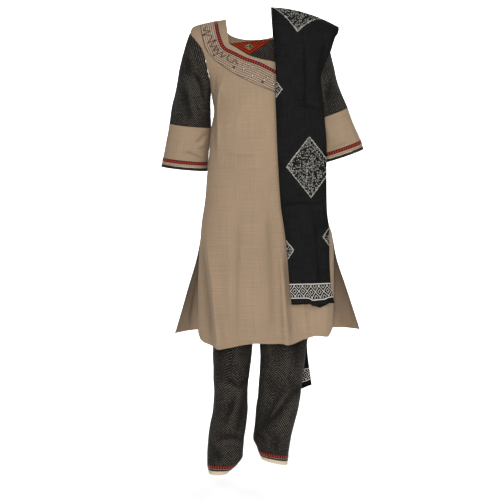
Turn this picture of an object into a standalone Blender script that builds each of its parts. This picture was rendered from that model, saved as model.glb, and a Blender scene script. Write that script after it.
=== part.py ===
"""Salwar kameez suit in its worn shape: kameez, salwar and a folded dupatta on the left shoulder.

Lengths in the tables are millimetres from the middle of the shoulder line. X runs to the wearer's
left, Y to the back and Z up. A row of a table is one level, ring, rib or fold of the cloth.
"""

import math
from collections import namedtuple

import bmesh
import bpy
from mathutils import Vector

MM = 0.001
WALL = 1.2
TRIM_WALL = 1.0
SEAM_GAP = 0.3
TRIM_EASE = 1.5
ARMHOLE_GAP = 2.3
SHOULDER_ROUND = 60.0
SHOULDER_SEAM_HALF = 0.27
SECTION_POWER = 2.4

# A point on a line that is drawn on a panel.
Spot = namedtuple("Spot", "x z")
# A point of such a line at a length along it.
Knot = namedtuple("Knot", "at x z")
# One value of a table's column at a row of that table.
Cell = namedtuple("Cell", "row value")

# The shoulder seams, each from the neck to the tip of the shoulder.
NECK_RIGHT_SIDE = Spot(-104, 2)
TIP_RIGHT_SIDE = Spot(-216, -41)
NECK_LEFT_SIDE = Spot(80, 8)
TIP_LEFT_SIDE = Spot(203, -33)
# How far the right shoulder seam rises above a straight line. The left one lies flat under the dupatta.
SHOULDER_RISE = 20.8
UNDERARM_Z = -236.0

BACK_STRAP_DROP = 22.0
BACK_NECK_DROP = 32.0
YOKE_LEFT_X = -99.0
YOKE_UNDERLAP = 14.0

DUPATTA_LAYERS = 4
DUPATTA_WALL = 1.0
DUPATTA_WIDTH = 140.0
DUPATTA_TUCK = 1.2

# One level of a body panel: its two edges, how far forward or back each edge and the middle lie,
# and how square the section turns at the edges.
Level = namedtuple("Level", "z left right left_y right_y mid turn")

FRONT_LEVELS = [
    Level(z=10, left=-216, right=203, left_y=-36, right_y=-36, mid=-60, turn=1.0),
    Level(z=-41, left=-216, right=203, left_y=-36, right_y=-36, mid=-70, turn=1.0),
    Level(z=-76, left=-194, right=182, left_y=-46, right_y=-46, mid=-84, turn=1.0),
    Level(z=-101, left=-177, right=165, left_y=-54, right_y=-54, mid=-94, turn=1.0),
    Level(z=-127, left=-168, right=156, left_y=-58, right_y=-58, mid=-102, turn=1.0),
    Level(z=-157, left=-162, right=150, left_y=-57, right_y=-57, mid=-109, turn=1.1),
    Level(z=-186, left=-155, right=144, left_y=-48, right_y=-48, mid=-114, turn=1.3),
    Level(z=-212, left=-152, right=142, left_y=-35, right_y=-35, mid=-117, turn=1.7),
    Level(z=-228, left=-151, right=141, left_y=-18, right_y=-18, mid=-118, turn=2.1),
    Level(z=-236, left=-150, right=141, left_y=0, right_y=0, mid=-119, turn=2.4),
    Level(z=-290, left=-142, right=141, left_y=0, right_y=0, mid=-117, turn=2.4),
    Level(z=-337, left=-150, right=151, left_y=0, right_y=0, mid=-113, turn=2.4),
    Level(z=-410, left=-156, right=167, left_y=0, right_y=0, mid=-108, turn=2.4),
    Level(z=-491, left=-164, right=186, left_y=0, right_y=0, mid=-110, turn=2.4),
    Level(z=-567, left=-170, right=205, left_y=0, right_y=0, mid=-117, turn=2.4),
    Level(z=-643, left=-181, right=220, left_y=0, right_y=0, mid=-123, turn=2.4),
    Level(z=-680, left=-184, right=231, left_y=0, right_y=0, mid=-126, turn=2.4),
    Level(z=-743, left=-188, right=234, left_y=-10, right_y=-10, mid=-131, turn=2.4),
    Level(z=-844, left=-191, right=234, left_y=-26, right_y=-28, mid=-142, turn=2.4),
    Level(z=-945, left=-191, right=230, left_y=-38, right_y=-42, mid=-152, turn=2.4),
    Level(z=-1030, left=-189, right=225, left_y=-44, right_y=-50, mid=-158, turn=2.4),
]

BACK_LEVELS = [
    Level(z=10, left=-216, right=203, left_y=38, right_y=38, mid=70, turn=1.0),
    Level(z=-41, left=-216, right=203, left_y=38, right_y=38, mid=78, turn=1.0),
    Level(z=-76, left=-194, right=182, left_y=50, right_y=50, mid=92, turn=1.0),
    Level(z=-101, left=-177, right=165, left_y=58, right_y=58, mid=99, turn=1.0),
    Level(z=-127, left=-168, right=156, left_y=62, right_y=62, mid=103, turn=1.0),
    Level(z=-157, left=-162, right=150, left_y=61, right_y=61, mid=105, turn=1.1),
    Level(z=-186, left=-155, right=144, left_y=52, right_y=52, mid=105, turn=1.3),
    Level(z=-212, left=-152, right=142, left_y=38, right_y=38, mid=104, turn=1.7),
    Level(z=-228, left=-151, right=141, left_y=20, right_y=20, mid=102, turn=2.1),
    Level(z=-236, left=-150, right=141, left_y=0, right_y=0, mid=101, turn=2.4),
    Level(z=-290, left=-142, right=141, left_y=0, right_y=0, mid=96, turn=2.4),
    Level(z=-337, left=-150, right=151, left_y=0, right_y=0, mid=91, turn=2.4),
    Level(z=-410, left=-156, right=167, left_y=0, right_y=0, mid=88, turn=2.4),
    Level(z=-491, left=-164, right=186, left_y=0, right_y=0, mid=98, turn=2.4),
    Level(z=-567, left=-170, right=205, left_y=0, right_y=0, mid=110, turn=2.4),
    Level(z=-643, left=-181, right=220, left_y=0, right_y=0, mid=120, turn=2.4),
    Level(z=-680, left=-184, right=231, left_y=0, right_y=0, mid=124, turn=2.4),
    Level(z=-743, left=-195, right=243, left_y=0, right_y=0, mid=130, turn=2.4),
    Level(z=-844, left=-224, right=276, left_y=2, right_y=2, mid=140, turn=2.2),
    Level(z=-945, left=-253, right=309, left_y=4, right_y=4, mid=148, turn=2.0),
    Level(z=-1000, left=-270, right=326, left_y=5, right_y=5, mid=153, turn=2.0),
]

# One fold that grows from its top down to the hem. Height is outward at the hem.
Fold = namedtuple("Fold", "top_x top_z hem_x half_width height")

FRONT_FOLDS = [
    Fold(top_x=-160, top_z=-640, hem_x=-126, half_width=20, height=27),
    Fold(top_x=-178, top_z=-660, hem_x=-158, half_width=20, height=-8),
    Fold(top_x=60, top_z=-620, hem_x=84, half_width=17, height=14),
    Fold(top_x=100, top_z=-600, hem_x=165, half_width=46, height=-20),
    Fold(top_x=-20, top_z=-600, hem_x=-20, half_width=50, height=-6),
]

BACK_FOLDS = [
    Fold(top_x=-130, top_z=-600, hem_x=-182, half_width=26, height=-22),
    Fold(top_x=-110, top_z=-560, hem_x=-125, half_width=24, height=16),
    Fold(top_x=-30, top_z=-600, hem_x=-36, half_width=34, height=-10),
    Fold(top_x=60, top_z=-560, hem_x=62, half_width=30, height=14),
    Fold(top_x=130, top_z=-600, hem_x=160, half_width=30, height=-14),
    Fold(top_x=170, top_z=-640, hem_x=232, half_width=26, height=-20),
]

# The lower edge of a panel, from its left edge to its right edge.
Hem = namedtuple("Hem", "across z")

FRONT_HEM = [
    Hem(across=0.0, z=-978), Hem(across=0.02, z=-1000), Hem(across=0.053, z=-1010),
    Hem(across=0.11, z=-1016), Hem(across=0.16, z=-1026), Hem(across=0.42, z=-1009),
    Hem(across=0.62, z=-1010), Hem(across=0.66, z=-1013), Hem(across=0.80, z=-996),
    Hem(across=0.88, z=-989), Hem(across=0.96, z=-992), Hem(across=0.985, z=-980),
    Hem(across=1.0, z=-964),
]
BACK_HEM = [
    Hem(across=0.0, z=-987), Hem(across=0.12, z=-980), Hem(across=0.5, z=-982),
    Hem(across=0.88, z=-974), Hem(across=1.0, z=-975),
]

OVERLAP_EDGE = [
    Spot(-93, -87), Spot(-62, -107), Spot(-32, -126), Spot(8, -139), Spot(47, -147),
    Spot(95, -166), Spot(143, -186),
]
RIBBON_LINE = [
    Spot(-136, -5), Spot(-128, -51), Spot(-116, -89), Spot(-107, -103), Spot(-78, -120),
    Spot(-41, -139), Spot(1, -155), Spot(43, -176), Spot(95, -201), Spot(122, -212),
]
BAND_LOWER_LINE = [
    Spot(-184, -17), Spot(-169, -90), Spot(-150, -122), Spot(-119, -152), Spot(-69, -187),
    Spot(-16, -215), Spot(43, -240), Spot(94, -262), Spot(116, -270),
]
RIBBON_WIDTH = 12.0
TRIM_STEPS = 30
PATCH_LEFT_X = -88.0
PATCH_RIGHT_X = 36.0
PATCH_TIP_X = -30.0
PATCH_MARGIN = 1.5

# One ring of a sleeve: its outer and inner ends, the depth of its middle, its half depth, how far
# its front hangs lower than its back, and how much of the armhole's own shape it keeps.
Ring = namedtuple("Ring", "outer_x outer_z inner_x inner_z mid_y half_depth tilt armhole")

SLEEVE_RIGHT_RINGS = [
    Ring(-217, -41, -152, -238, 0, 60, 0, 1.0),
    Ring(-227, -57, -153, -245, 1, 60, 1, 0.74),
    Ring(-235, -82, -153, -251, 2, 61, 2, 0.48),
    Ring(-243, -113, -153, -260, 5, 62, 3, 0.27),
    Ring(-251, -148, -153, -272, 8, 63, 4, 0.12),
    Ring(-259, -195, -152, -289, 12, 64, 6, 0.0),
    Ring(-270, -246, -152, -307, 18, 64, 7, 0.0),
    Ring(-278, -286, -152, -324, 23, 63, 9, 0.0),
    Ring(-284, -323, -152, -336, 28, 62, 10, 0.0),
]
CUFF_RIGHT_RINGS = [
    Ring(-284, -323, -152, -336, 28, 62, 10, 0.0),
    Ring(-292, -368, -155, -381, 34, 61, 11, 0.0),
    Ring(-301, -413, -160, -427, 40, 61, 10, 0.0),
    Ring(-310, -458, -164, -472, 45, 62, 9, 0.0),
]
SLEEVE_LEFT_RINGS = [
    Ring(204, -33, 143, -238, 0, 60, 0, 1.0),
    Ring(214, -52, 144, -245, 1, 60, 1, 0.74),
    Ring(222, -80, 144, -251, 2, 61, 2, 0.48),
    Ring(230, -113, 145, -259, 5, 62, 3, 0.27),
    Ring(238, -150, 146, -268, 8, 63, 4, 0.12),
    Ring(247, -190, 148, -281, 12, 64, 6, 0.0),
    Ring(260, -228, 151, -295, 18, 64, 7, 0.0),
    Ring(272, -253, 154, -308, 23, 63, 9, 0.0),
    Ring(281, -272, 158, -317, 28, 62, 10, 0.0),
]
CUFF_LEFT_RINGS = [
    Ring(281, -272, 158, -317, 28, 62, 10, 0.0),
    Ring(298, -316, 168, -362, 34, 61, 11, 0.0),
    Ring(317, -358, 179, -405, 40, 61, 10, 0.0),
    Ring(333, -402, 192, -449, 45, 62, 9, 0.0),
]
CUFF_RIBBON_SPAN = (0.78, 0.865)
CUFF_PIPING_WIDTH = 9.5
CUFF_LENGTH = 140.0
SLEEVE_COLUMNS = 20

# One ring of a salwar leg: its outer and inner side, and how far it reaches to the front and back.
LegRing = namedtuple("LegRing", "z outer inner front back")

LEG_RIGHT_RINGS = [
    LegRing(z=-470, outer=-146, inner=14, front=-104.6, back=82),
    LegRing(z=-560, outer=-163, inner=17, front=-107, back=98),
    LegRing(z=-660, outer=-177, inner=21, front=-112, back=108),
    LegRing(z=-760, outer=-178, inner=14, front=-104, back=104),
    LegRing(z=-850, outer=-164, inner=-4, front=-92, back=92),
    LegRing(z=-950, outer=-151, inner=-12, front=-80, back=80),
    LegRing(z=-1046, outer=-145, inner=-22, front=-70, back=72),
    LegRing(z=-1121, outer=-145, inner=-31, front=-66, back=68),
    LegRing(z=-1172, outer=-142, inner=-35, front=-64, back=64),
    LegRing(z=-1222, outer=-145, inner=-35, front=-62, back=64),
    LegRing(z=-1273, outer=-154, inner=-41, front=-60, back=66),
    LegRing(z=-1323, outer=-161, inner=-47, front=-58, back=66),
    LegRing(z=-1373, outer=-164, inner=-50, front=-58, back=64),
    LegRing(z=-1399, outer=-162, inner=-70, front=-57, back=58),
    LegRing(z=-1424, outer=-158, inner=-98, front=-54, back=50),
]
LEG_LEFT_RINGS = [
    LegRing(z=-470, outer=164, inner=14.6, front=-104.6, back=82),
    LegRing(z=-560, outer=196, inner=17.6, front=-107, back=98),
    LegRing(z=-660, outer=218, inner=21.6, front=-112, back=108),
    LegRing(z=-760, outer=214, inner=14.6, front=-104, back=104),
    LegRing(z=-850, outer=188, inner=4, front=-92, back=92),
    LegRing(z=-950, outer=164, inner=3, front=-80, back=80),
    LegRing(z=-1046, outer=148, inner=3, front=-70, back=72),
    LegRing(z=-1121, outer=139, inner=0, front=-66, back=68),
    LegRing(z=-1172, outer=132, inner=-3, front=-64, back=64),
    LegRing(z=-1222, outer=123, inner=-9, front=-62, back=64),
    LegRing(z=-1273, outer=110, inner=-13, front=-60, back=66),
    LegRing(z=-1323, outer=97, inner=-18, front=-58, back=66),
    LegRing(z=-1348, outer=94, inner=-8, front=-56, back=60),
    LegRing(z=-1388, outer=90, inner=7, front=-54, back=52),
]
SEAT_Z = -600.0
CROTCH_Z = -790.0
LEG_RIBBON_WIDTH = 11.0
LEG_STRIP_WIDTH = 11.0
LEG_RIBBON_RISE = 7.0
LEG_HEM_GAP = 0.8
LEG_COLUMNS = 20
# How much lower the left leg's hem is on its outer side than on its inner side. The slant starts
# at the top height.
LEFT_HEM_TILT = 18.0
HEM_TILT_TOP_Z = -1180.0
WAISTBAND_WIDTH = 34.0

# One rib across the folded dupatta, from its neck edge to its shoulder edge, on the inmost layer.
# Face is the way its outer side looks: 0 to the front, 90 up, 180 to the back. Pitch is the
# distance from one layer to the next.
Rib = namedtuple("Rib", "left_x left_y left_z right_x right_y right_z bow face pitch")

DUPATTA_FRONT_RIBS = [
    Rib(98, -147, -889, 230, -94, -886, 3, 0, 2.3),
    Rib(92, -144, -826, 219, -94, -824, 5, 0, 2.3),
    Rib(86, -135, -745, 216, -85, -743, 8, 0, 2.3),
    Rib(78, -127, -668, 216, -77, -668, 11, 0, 2.3),
    Rib(67, -121, -592, 209, -74, -592, 11, 0, 2.3),
    Rib(60, -113, -491, 208, -72, -491, 8, 0, 2.3),
    Rib(56, -111, -410, 208, -72, -410, 6, 0, 2.3),
    Rib(53, -114, -330, 203, -72, -330, 6, 2, 2.3),
    Rib(50, -120, -250, 195, -72, -250, 8, 4, 2.3),
    Rib(52, -117, -200, 190, -70, -200, 8, 6, 2.4),
    Rib(50, -108, -150, 203, -64, -150, 7, 10, 2.8),
    Rib(48, -97, -112, 222, -58, -112, 7, 18, 3.6),
    Rib(46, -87, -80, 230, -48, -88, 7, 28, 4.6),
    Rib(44, -70, -37, 238, -36, -66, 8, 42, 6.0),
    Rib(41, -43, -5, 246, -21, -54, 9, 62, 7.4),
]
DUPATTA_BACK_RIBS = [
    Rib(38, -15, 14, 252, -4, -48, 11, 84, 7.8),
    Rib(39, 18, 16, 252, 14, -48, 11, 98, 7.6),
    Rib(41, 53, 3, 246, 38, -53, 10, 122, 6.6),
    Rib(45, 80, -38, 236, 52, -76, 8, 146, 5.2),
    Rib(46, 97, -92, 224, 62, -112, 5, 162, 3.8),
    Rib(46, 104, -160, 212, 74, -170, 5, 172, 2.8),
    Rib(46, 104, -250, 202, 83, -256, 5, 178, 2.4),
    Rib(46, 107, -360, 196, 88, -360, 5, 180, 2.3),
    Rib(44, 112, -480, 188, 92, -480, 6, 180, 2.3),
    Rib(40, 118, -600, 180, 97, -600, 7, 180, 2.3),
    Rib(36, 133, -720, 170, 111, -720, 8, 180, 2.3),
    Rib(32, 149, -850, 162, 128, -850, 9, 180, 2.3),
    Rib(30, 169, -970, 156, 147, -970, 8, 180, 2.3),
    Rib(34, 172, -1070, 160, 154, -1060, 6, 180, 2.3),
    Rib(40, 172, -1212, 174, 156, -1160, 5, 180, 2.3),
]

Finish = namedtuple("Finish", "colour roughness")

FINISHES = {
    "beige_cotton": Finish((0.39, 0.28, 0.18, 1.0), 0.9),
    "dark_print_cotton": Finish((0.032, 0.028, 0.023, 1.0), 0.88),
    "black_dupatta_cotton": Finish((0.012, 0.012, 0.012, 1.0), 0.9),
    "maroon_ribbon": Finish((0.16, 0.012, 0.01, 1.0), 0.7),
    "kantha_band": Finish((0.33, 0.22, 0.13, 1.0), 0.85),
    "red_patch": Finish((0.5, 0.05, 0.01, 1.0), 0.75),
    "cream_border": Finish((0.5, 0.4, 0.27, 1.0), 0.85),
}


def clear_scene():
    """Removes every object, so that the suit is alone in the scene."""
    for obj in list(bpy.data.objects):
        bpy.data.objects.remove(obj, do_unlink=True)


def smooth_read(rows, key, column, at):
    """A column of a table between its rows, on a curve that doesn't overshoot them."""
    points = sorted((getattr(row, key), getattr(row, column)) for row in rows)
    if at <= points[0][0]:
        return points[0][1]
    if at >= points[-1][0]:
        return points[-1][1]
    i = max(n for n in range(len(points) - 1) if points[n][0] <= at)
    steps = [
        (points[n + 1][1] - points[n][1]) / (points[n + 1][0] - points[n][0])
        for n in range(max(0, i - 1), min(len(points) - 1, i + 2))
    ]
    here = steps[1] if i > 0 else steps[0]
    before = steps[0]
    after = steps[-1]
    start = 0.0 if before * here <= 0 else 2 * before * here / (before + here)
    end = 0.0 if after * here <= 0 else 2 * after * here / (after + here)
    span = points[i + 1][0] - points[i][0]
    t = (at - points[i][0]) / span
    return (
        points[i][1] * (1 + 2 * t) * (1 - t) ** 2
        + span * start * t * (1 - t) ** 2
        + points[i + 1][1] * t * t * (3 - 2 * t)
        - span * end * t * t * (1 - t)
    )


def mix(a, b, share):
    return a + (b - a) * share


def shoulder_line(x):
    """Height of the shoulder seams over x, and of a straight line between them over the neck."""
    if x <= NECK_RIGHT_SIDE.x:
        start, end = NECK_RIGHT_SIDE, TIP_RIGHT_SIDE
        share = min(1.0, (x - start.x) / (end.x - start.x))
        return mix(start.z, end.z, share) + SHOULDER_RISE * share * math.sqrt(1 - share**12)
    start, end = NECK_RIGHT_SIDE, NECK_LEFT_SIDE
    if x >= NECK_LEFT_SIDE.x:
        start, end = NECK_LEFT_SIDE, TIP_LEFT_SIDE
    return mix(start.z, end.z, (x - start.x) / (end.x - start.x))


def fold_depth(folds, x, z, hem_z):
    """How far the folds push the cloth outward at x and z."""
    depth = 0.0
    for fold in folds:
        if z < fold.top_z:
            down = min(1.0, (fold.top_z - z) / (fold.top_z - hem_z))
            middle = mix(fold.top_x, fold.hem_x, down)
            width = fold.half_width * (0.55 + 0.45 * down)
            grown = down * down * (3 - 2 * down)
            depth += fold.height * grown * math.exp(-(((x - middle) / width) ** 2))
    return depth


def panel_edges(levels, z):
    return smooth_read(levels, "z", "left", z), smooth_read(levels, "z", "right", z)


def panel_y(levels, folds, x, z):
    """Depth of a body panel at x and z: a squarish section, rounded over the shoulder."""
    left, right = panel_edges(levels, z)
    share = min(1.0, max(0.0, (x - left) / (right - left)))
    from_middle = abs(2 * share - 1)
    turn = smooth_read(levels, "z", "turn", z)
    bulge = max(0.0, 1 - from_middle**SECTION_POWER) ** (1 / turn)
    edge = mix(
        smooth_read(levels, "z", "left_y", z),
        smooth_read(levels, "z", "right_y", z),
        share,
    )
    y = mix(edge, smooth_read(levels, "z", "mid", z), bulge)
    side = -1 if levels is FRONT_LEVELS else 1
    y += side * fold_depth(folds, x, z, -1000.0)
    below = min(1.0, max(0.0, (shoulder_line(x) - z) / SHOULDER_ROUND))
    return y * math.sqrt(1 - (1 - below) ** 2) + side * SHOULDER_SEAM_HALF


def panel_point(levels, folds, x, z, out=0.0):
    """A point of a body panel, moved out from the cloth by out."""
    here = Vector((x, panel_y(levels, folds, x, z), z))
    if not out:
        return here
    step = 1.5
    left, right = panel_edges(levels, z)
    x_low, x_high = max(left, x - step), min(right, x + step)
    z_high = min(shoulder_line(x), z + step)
    z_low = z_high - 2 * step
    y_across = panel_y(levels, folds, x_high, z) - panel_y(levels, folds, x_low, z)
    y_up = panel_y(levels, folds, x, z_high) - panel_y(levels, folds, x, z_low)
    normal = Vector((x_high - x_low, y_across, 0)).cross(Vector((0, y_up, z_high - z_low))).normalized()
    if levels is BACK_LEVELS:
        normal.negate()
    return here + normal * out


def front_point(x, z, out=0.0):
    return panel_point(FRONT_LEVELS, FRONT_FOLDS, x, z, out)


def back_point(x, z, out=0.0):
    return panel_point(BACK_LEVELS, BACK_FOLDS, x, z, out)


def column_x(levels, share, z):
    """The x of a column of cloth: columns crowd towards the edges, where the section turns."""
    left, right = panel_edges(levels, z)
    return mix(left, right, (1 - math.cos(math.pi * share)) / 2)


def column_share(levels, x, z):
    left, right = panel_edges(levels, z)
    return math.acos(1 - 2 * (x - left) / (right - left)) / math.pi


def make_material(name):
    finish = FINISHES[name]
    material = bpy.data.materials.new(name)
    material.use_nodes = True
    shader = material.node_tree.nodes["Principled BSDF"]
    shader.inputs["Base Color"].default_value = finish.colour
    shader.inputs["Roughness"].default_value = finish.roughness
    shader.inputs["Metallic"].default_value = 0.0
    material.diffuse_color = finish.colour
    return material


def finish_cloth(name, bm, material, collection, wall, offset=-1.0):
    """Makes an object of a sheet of faces and thickens it to the wall of the cloth."""
    bmesh.ops.scale(bm, vec=(MM, MM, MM), verts=bm.verts)
    mesh = bpy.data.meshes.new(name)
    bm.to_mesh(mesh)
    bm.free()
    mesh.materials.append(material)
    for face in mesh.polygons:
        face.use_smooth = True
    obj = bpy.data.objects.new(name, mesh)
    collection.objects.link(obj)
    thick = obj.modifiers.new("wall", "SOLIDIFY")
    thick.thickness = wall * MM
    thick.offset = offset
    thick.use_even_offset = False
    return obj


def sheet(across, down, place, keep=None, outward=True, closed=False):
    """A grid of cells whose corners place(i, j) sets, with the cells that keep(i, j) refuses left out."""
    bm = bmesh.new()
    bmesh.ops.create_grid(bm, x_segments=across, y_segments=down, size=0.5)
    cell = {}
    for vert in bm.verts:
        cell[vert] = (round((vert.co.x + 0.5) * across), round((0.5 - vert.co.y) * down))
    if keep:
        dropped = []
        for face in bm.faces:
            i = min(cell[vert][0] for vert in face.verts)
            j = min(cell[vert][1] for vert in face.verts)
            if not keep(i, j):
                dropped.append(face)
        bmesh.ops.delete(bm, geom=dropped, context="FACES")
    for vert in bm.verts:
        vert.co = place(*cell[vert])
    if closed:
        bmesh.ops.remove_doubles(bm, verts=bm.verts, dist=0.01)
    if not outward:
        bmesh.ops.reverse_faces(bm, faces=bm.faces)
    return bm


def hem_at(hem, share):
    return smooth_read(hem, "across", "z", share)


def line_z(spots, x):
    return smooth_read(spots, "x", "z", x)


def front_columns(strap, rest):
    """The shares of the front's columns: the first ones run up its shoulder strap to the neck."""
    corner = column_share(FRONT_LEVELS, OVERLAP_EDGE[0].x, OVERLAP_EDGE[0].z)
    shares = [mix(0.0, corner, n / strap) for n in range(strap)]
    return shares + [mix(corner, 1.0, n / rest) for n in range(rest + 1)]


def strap_height(x_top, z_bottom, down):
    """Height of a row of a shoulder strap: the rows are closer together near the seam."""
    return mix(shoulder_line(x_top), z_bottom, down * down * (1.6 - 0.6 * down))


def strap_point(x_bottom, z_bottom, corner, down):
    """A point of the front's shoulder strap: down is 0 at the shoulder seam and 1 at the neck corner."""
    edge_x = panel_edges(FRONT_LEVELS, z_bottom)[0]
    part = (x_bottom - edge_x) / (corner.x - edge_x)
    z = strap_height(mix(TIP_RIGHT_SIDE.x, NECK_RIGHT_SIDE.x, part), z_bottom, down)
    neck_x = mix(NECK_RIGHT_SIDE.x, corner.x, (NECK_RIGHT_SIDE.z - z) / (NECK_RIGHT_SIDE.z - corner.z))
    return front_point(mix(panel_edges(FRONT_LEVELS, z)[0], neck_x, part), z)


def overlap_top(x):
    """Height of the front's upper edge right of the neck, and of the level below its strap."""
    if x < OVERLAP_EDGE[0].x:
        return OVERLAP_EDGE[0].z - 0.12 * (OVERLAP_EDGE[0].x - x)
    return line_z(OVERLAP_EDGE, x)


def solve_column(levels, share, height_of):
    """Where a column of the panel meets a line across it."""
    z = -150.0
    for _ in range(20):
        z = height_of(column_x(levels, share, z))
    return column_x(levels, share, z), z


def make_front(material, collection):
    strap, rest, top_rows, rows = 6, 14, 7, 22
    shares = front_columns(strap, rest)
    corner = OVERLAP_EDGE[0]

    def place(i, j):
        share = shares[i]
        x_split, z_split = solve_column(FRONT_LEVELS, share, overlap_top)
        if j < top_rows and i <= strap:
            return strap_point(x_split, z_split, corner, j / top_rows)
        down = max(0, j - top_rows) / rows
        z = mix(z_split, hem_at(FRONT_HEM, (1 - math.cos(math.pi * share)) / 2), down)
        return front_point(column_x(FRONT_LEVELS, share, z), z)

    bm = sheet(strap + rest, top_rows + rows, place, lambda i, j: j >= top_rows or i < strap)
    return finish_cloth("kameez_front", bm, material, collection, WALL)


def yoke_top(x):
    """Height of the yoke's neck edge, carried on under its strap."""
    if x < NECK_LEFT_SIDE.x:
        return mix(-87, -70, (x + 96) / 176)
    return -70 - 0.2 * (x - NECK_LEFT_SIDE.x)


def yoke_bottom(x):
    """The yoke runs on a little way under the overlap."""
    return line_z(OVERLAP_EDGE, max(x, OVERLAP_EDGE[0].x)) - YOKE_UNDERLAP


def yoke_strap_x(part, z):
    return mix(NECK_LEFT_SIDE.x, panel_edges(FRONT_LEVELS, z)[1], part)


def yoke_spot(part, down):
    """A spot of the yoke right of the neck: down is 0 at its neck edge and 1 at its lower edge."""
    z = -85.0
    for _ in range(12):
        x = yoke_strap_x(part, z)
        z = mix(yoke_top(x), yoke_bottom(x), down)
    return Spot(x, z)


def make_yoke(material, collection):
    strap, rest, top_rows, rows = 6, 7, 6, 4
    under = -(WALL + TRIM_EASE)

    def place(i, j):
        down = max(0, j - top_rows) / rows
        if i < rest:
            x = mix(YOKE_LEFT_X, NECK_LEFT_SIDE.x, i / rest)
            return front_point(x, mix(yoke_top(x), yoke_bottom(x), down), under)
        part = (i - rest) / strap
        if j >= top_rows:
            spot = yoke_spot(part, down)
            return front_point(spot.x, spot.z, under)
        x_top = mix(NECK_LEFT_SIDE.x, TIP_LEFT_SIDE.x, part)
        z = strap_height(x_top, yoke_spot(part, 0).z, j / top_rows)
        return front_point(yoke_strap_x(part, z), z, under)

    bm = sheet(strap + rest, top_rows + rows, place, lambda i, j: j >= top_rows or i >= rest)
    return finish_cloth("kameez_yoke", bm, material, collection, WALL)


def back_top(x):
    """Height of the back neck edge, carried on below the straps."""
    below = BACK_STRAP_DROP
    if NECK_RIGHT_SIDE.x < x < NECK_LEFT_SIDE.x:
        middle = (NECK_RIGHT_SIDE.x + NECK_LEFT_SIDE.x) / 2
        share = (x - middle) / ((NECK_LEFT_SIDE.x - NECK_RIGHT_SIDE.x) / 2)
        below += BACK_NECK_DROP * math.sqrt(max(0.0, 1 - share * share))
    return shoulder_line(x) - below


def make_back(material, collection):
    strap, neck, top_rows, rows = 5, 9, 4, 18
    left_corner = column_share(BACK_LEVELS, NECK_RIGHT_SIDE.x, back_top(NECK_RIGHT_SIDE.x))
    right_corner = column_share(BACK_LEVELS, NECK_LEFT_SIDE.x, back_top(NECK_LEFT_SIDE.x))
    shares = (
        [mix(0.0, left_corner, n / strap) for n in range(strap)]
        + [mix(left_corner, right_corner, n / neck) for n in range(neck)]
        + [mix(right_corner, 1.0, n / strap) for n in range(strap + 1)]
    )
    across = len(shares) - 1

    def place(i, j):
        share = shares[i]
        z_split = -BACK_STRAP_DROP
        for _ in range(20):
            z_split = back_top(column_x(BACK_LEVELS, share, z_split))
        if j < top_rows:
            x = column_x(BACK_LEVELS, share, z_split)
            z = mix(shoulder_line(x), z_split, (j / top_rows) ** 2)
            return back_point(x, z)
        down = (j - top_rows) / rows
        z = mix(z_split, hem_at(BACK_HEM, (1 - math.cos(math.pi * share)) / 2), down**1.25)
        return back_point(column_x(BACK_LEVELS, share, z), z)

    def keep(i, j):
        return j >= top_rows or i < strap or i >= strap + neck

    bm = sheet(across, top_rows + rows, place, keep, outward=False)
    return finish_cloth("kameez_back", bm, material, collection, WALL)


def along(spots, share):
    """A point part of the way along a drawn line, by its length."""
    lengths = [0.0]
    for a, b in zip(spots, spots[1:]):
        lengths.append(lengths[-1] + math.hypot(b.x - a.x, b.z - a.z))
    knots = [Knot(length, spot.x, spot.z) for length, spot in zip(lengths, spots)]
    at = share * lengths[-1]
    return smooth_read(knots, "at", "x", at), smooth_read(knots, "at", "z", at)


def beside(spots, share, away):
    """A point beside a drawn line, away to its upper side."""
    x, z = along(spots, share)
    x_before, z_before = along(spots, max(0.0, share - 0.01))
    x_after, z_after = along(spots, min(1.0, share + 0.01))
    size = math.hypot(x_after - x_before, z_after - z_before)
    return x - away * (z_after - z_before) / size, z + away * (x_after - x_before) / size


def inside_front(x, z):
    """The nearest place that is still on the front panel, clear of its edges."""
    left, right = panel_edges(FRONT_LEVELS, z)
    x = min(right - 1.5, max(left + 1.5, x))
    return x, min(z, shoulder_line(x) - 1.0)


def trim_share(step):
    """How far along the neck a step of the trims is: the steps are shorter over the shoulder."""
    return (step / TRIM_STEPS) ** 1.2


def make_neck_ribbon(material, collection):
    def place(i, j):
        x, z = inside_front(*beside(RIBBON_LINE, trim_share(i), RIBBON_WIDTH * (0.5 - j)))
        return front_point(x, z, TRIM_EASE + TRIM_WALL)

    return finish_cloth("neck_ribbon", sheet(TRIM_STEPS, 1, place), material, collection, TRIM_WALL)


def make_embroidered_band(material, collection):
    rows = 3

    def place(i, j):
        x_up, z_up = beside(RIBBON_LINE, trim_share(i), -RIBBON_WIDTH / 2 - 2 * SEAM_GAP)
        x_low, z_low = along(BAND_LOWER_LINE, trim_share(i))
        x, z = inside_front(mix(x_up, x_low, j / rows), mix(z_up, z_low, j / rows))
        return front_point(x, z, TRIM_EASE + TRIM_WALL)

    return finish_cloth("embroidered_band", sheet(TRIM_STEPS, rows, place), material, collection, TRIM_WALL)


def patch_bottom(x, top):
    """Lower edge of the patch: down along the overlap to its tip, then back up to the neck edge."""
    low = line_z(OVERLAP_EDGE, min(x, PATCH_TIP_X)) + PATCH_MARGIN
    if x > PATCH_TIP_X:
        low = mix(low, top - 2.0, (x - PATCH_TIP_X) / (PATCH_RIGHT_X - PATCH_TIP_X))
    return min(low, top - 2.0)


def make_yoke_patch(material, collection):
    steps, rows = 12, 3
    above_yoke = TRIM_WALL + SEAM_GAP - WALL - TRIM_EASE

    def place(i, j):
        x = mix(PATCH_LEFT_X, PATCH_RIGHT_X, i / steps)
        top = yoke_top(x) - PATCH_MARGIN
        return front_point(x, mix(top, patch_bottom(x, top), j / rows), above_yoke)

    return finish_cloth("yoke_patch", sheet(steps, rows, place), material, collection, TRIM_WALL)


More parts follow.
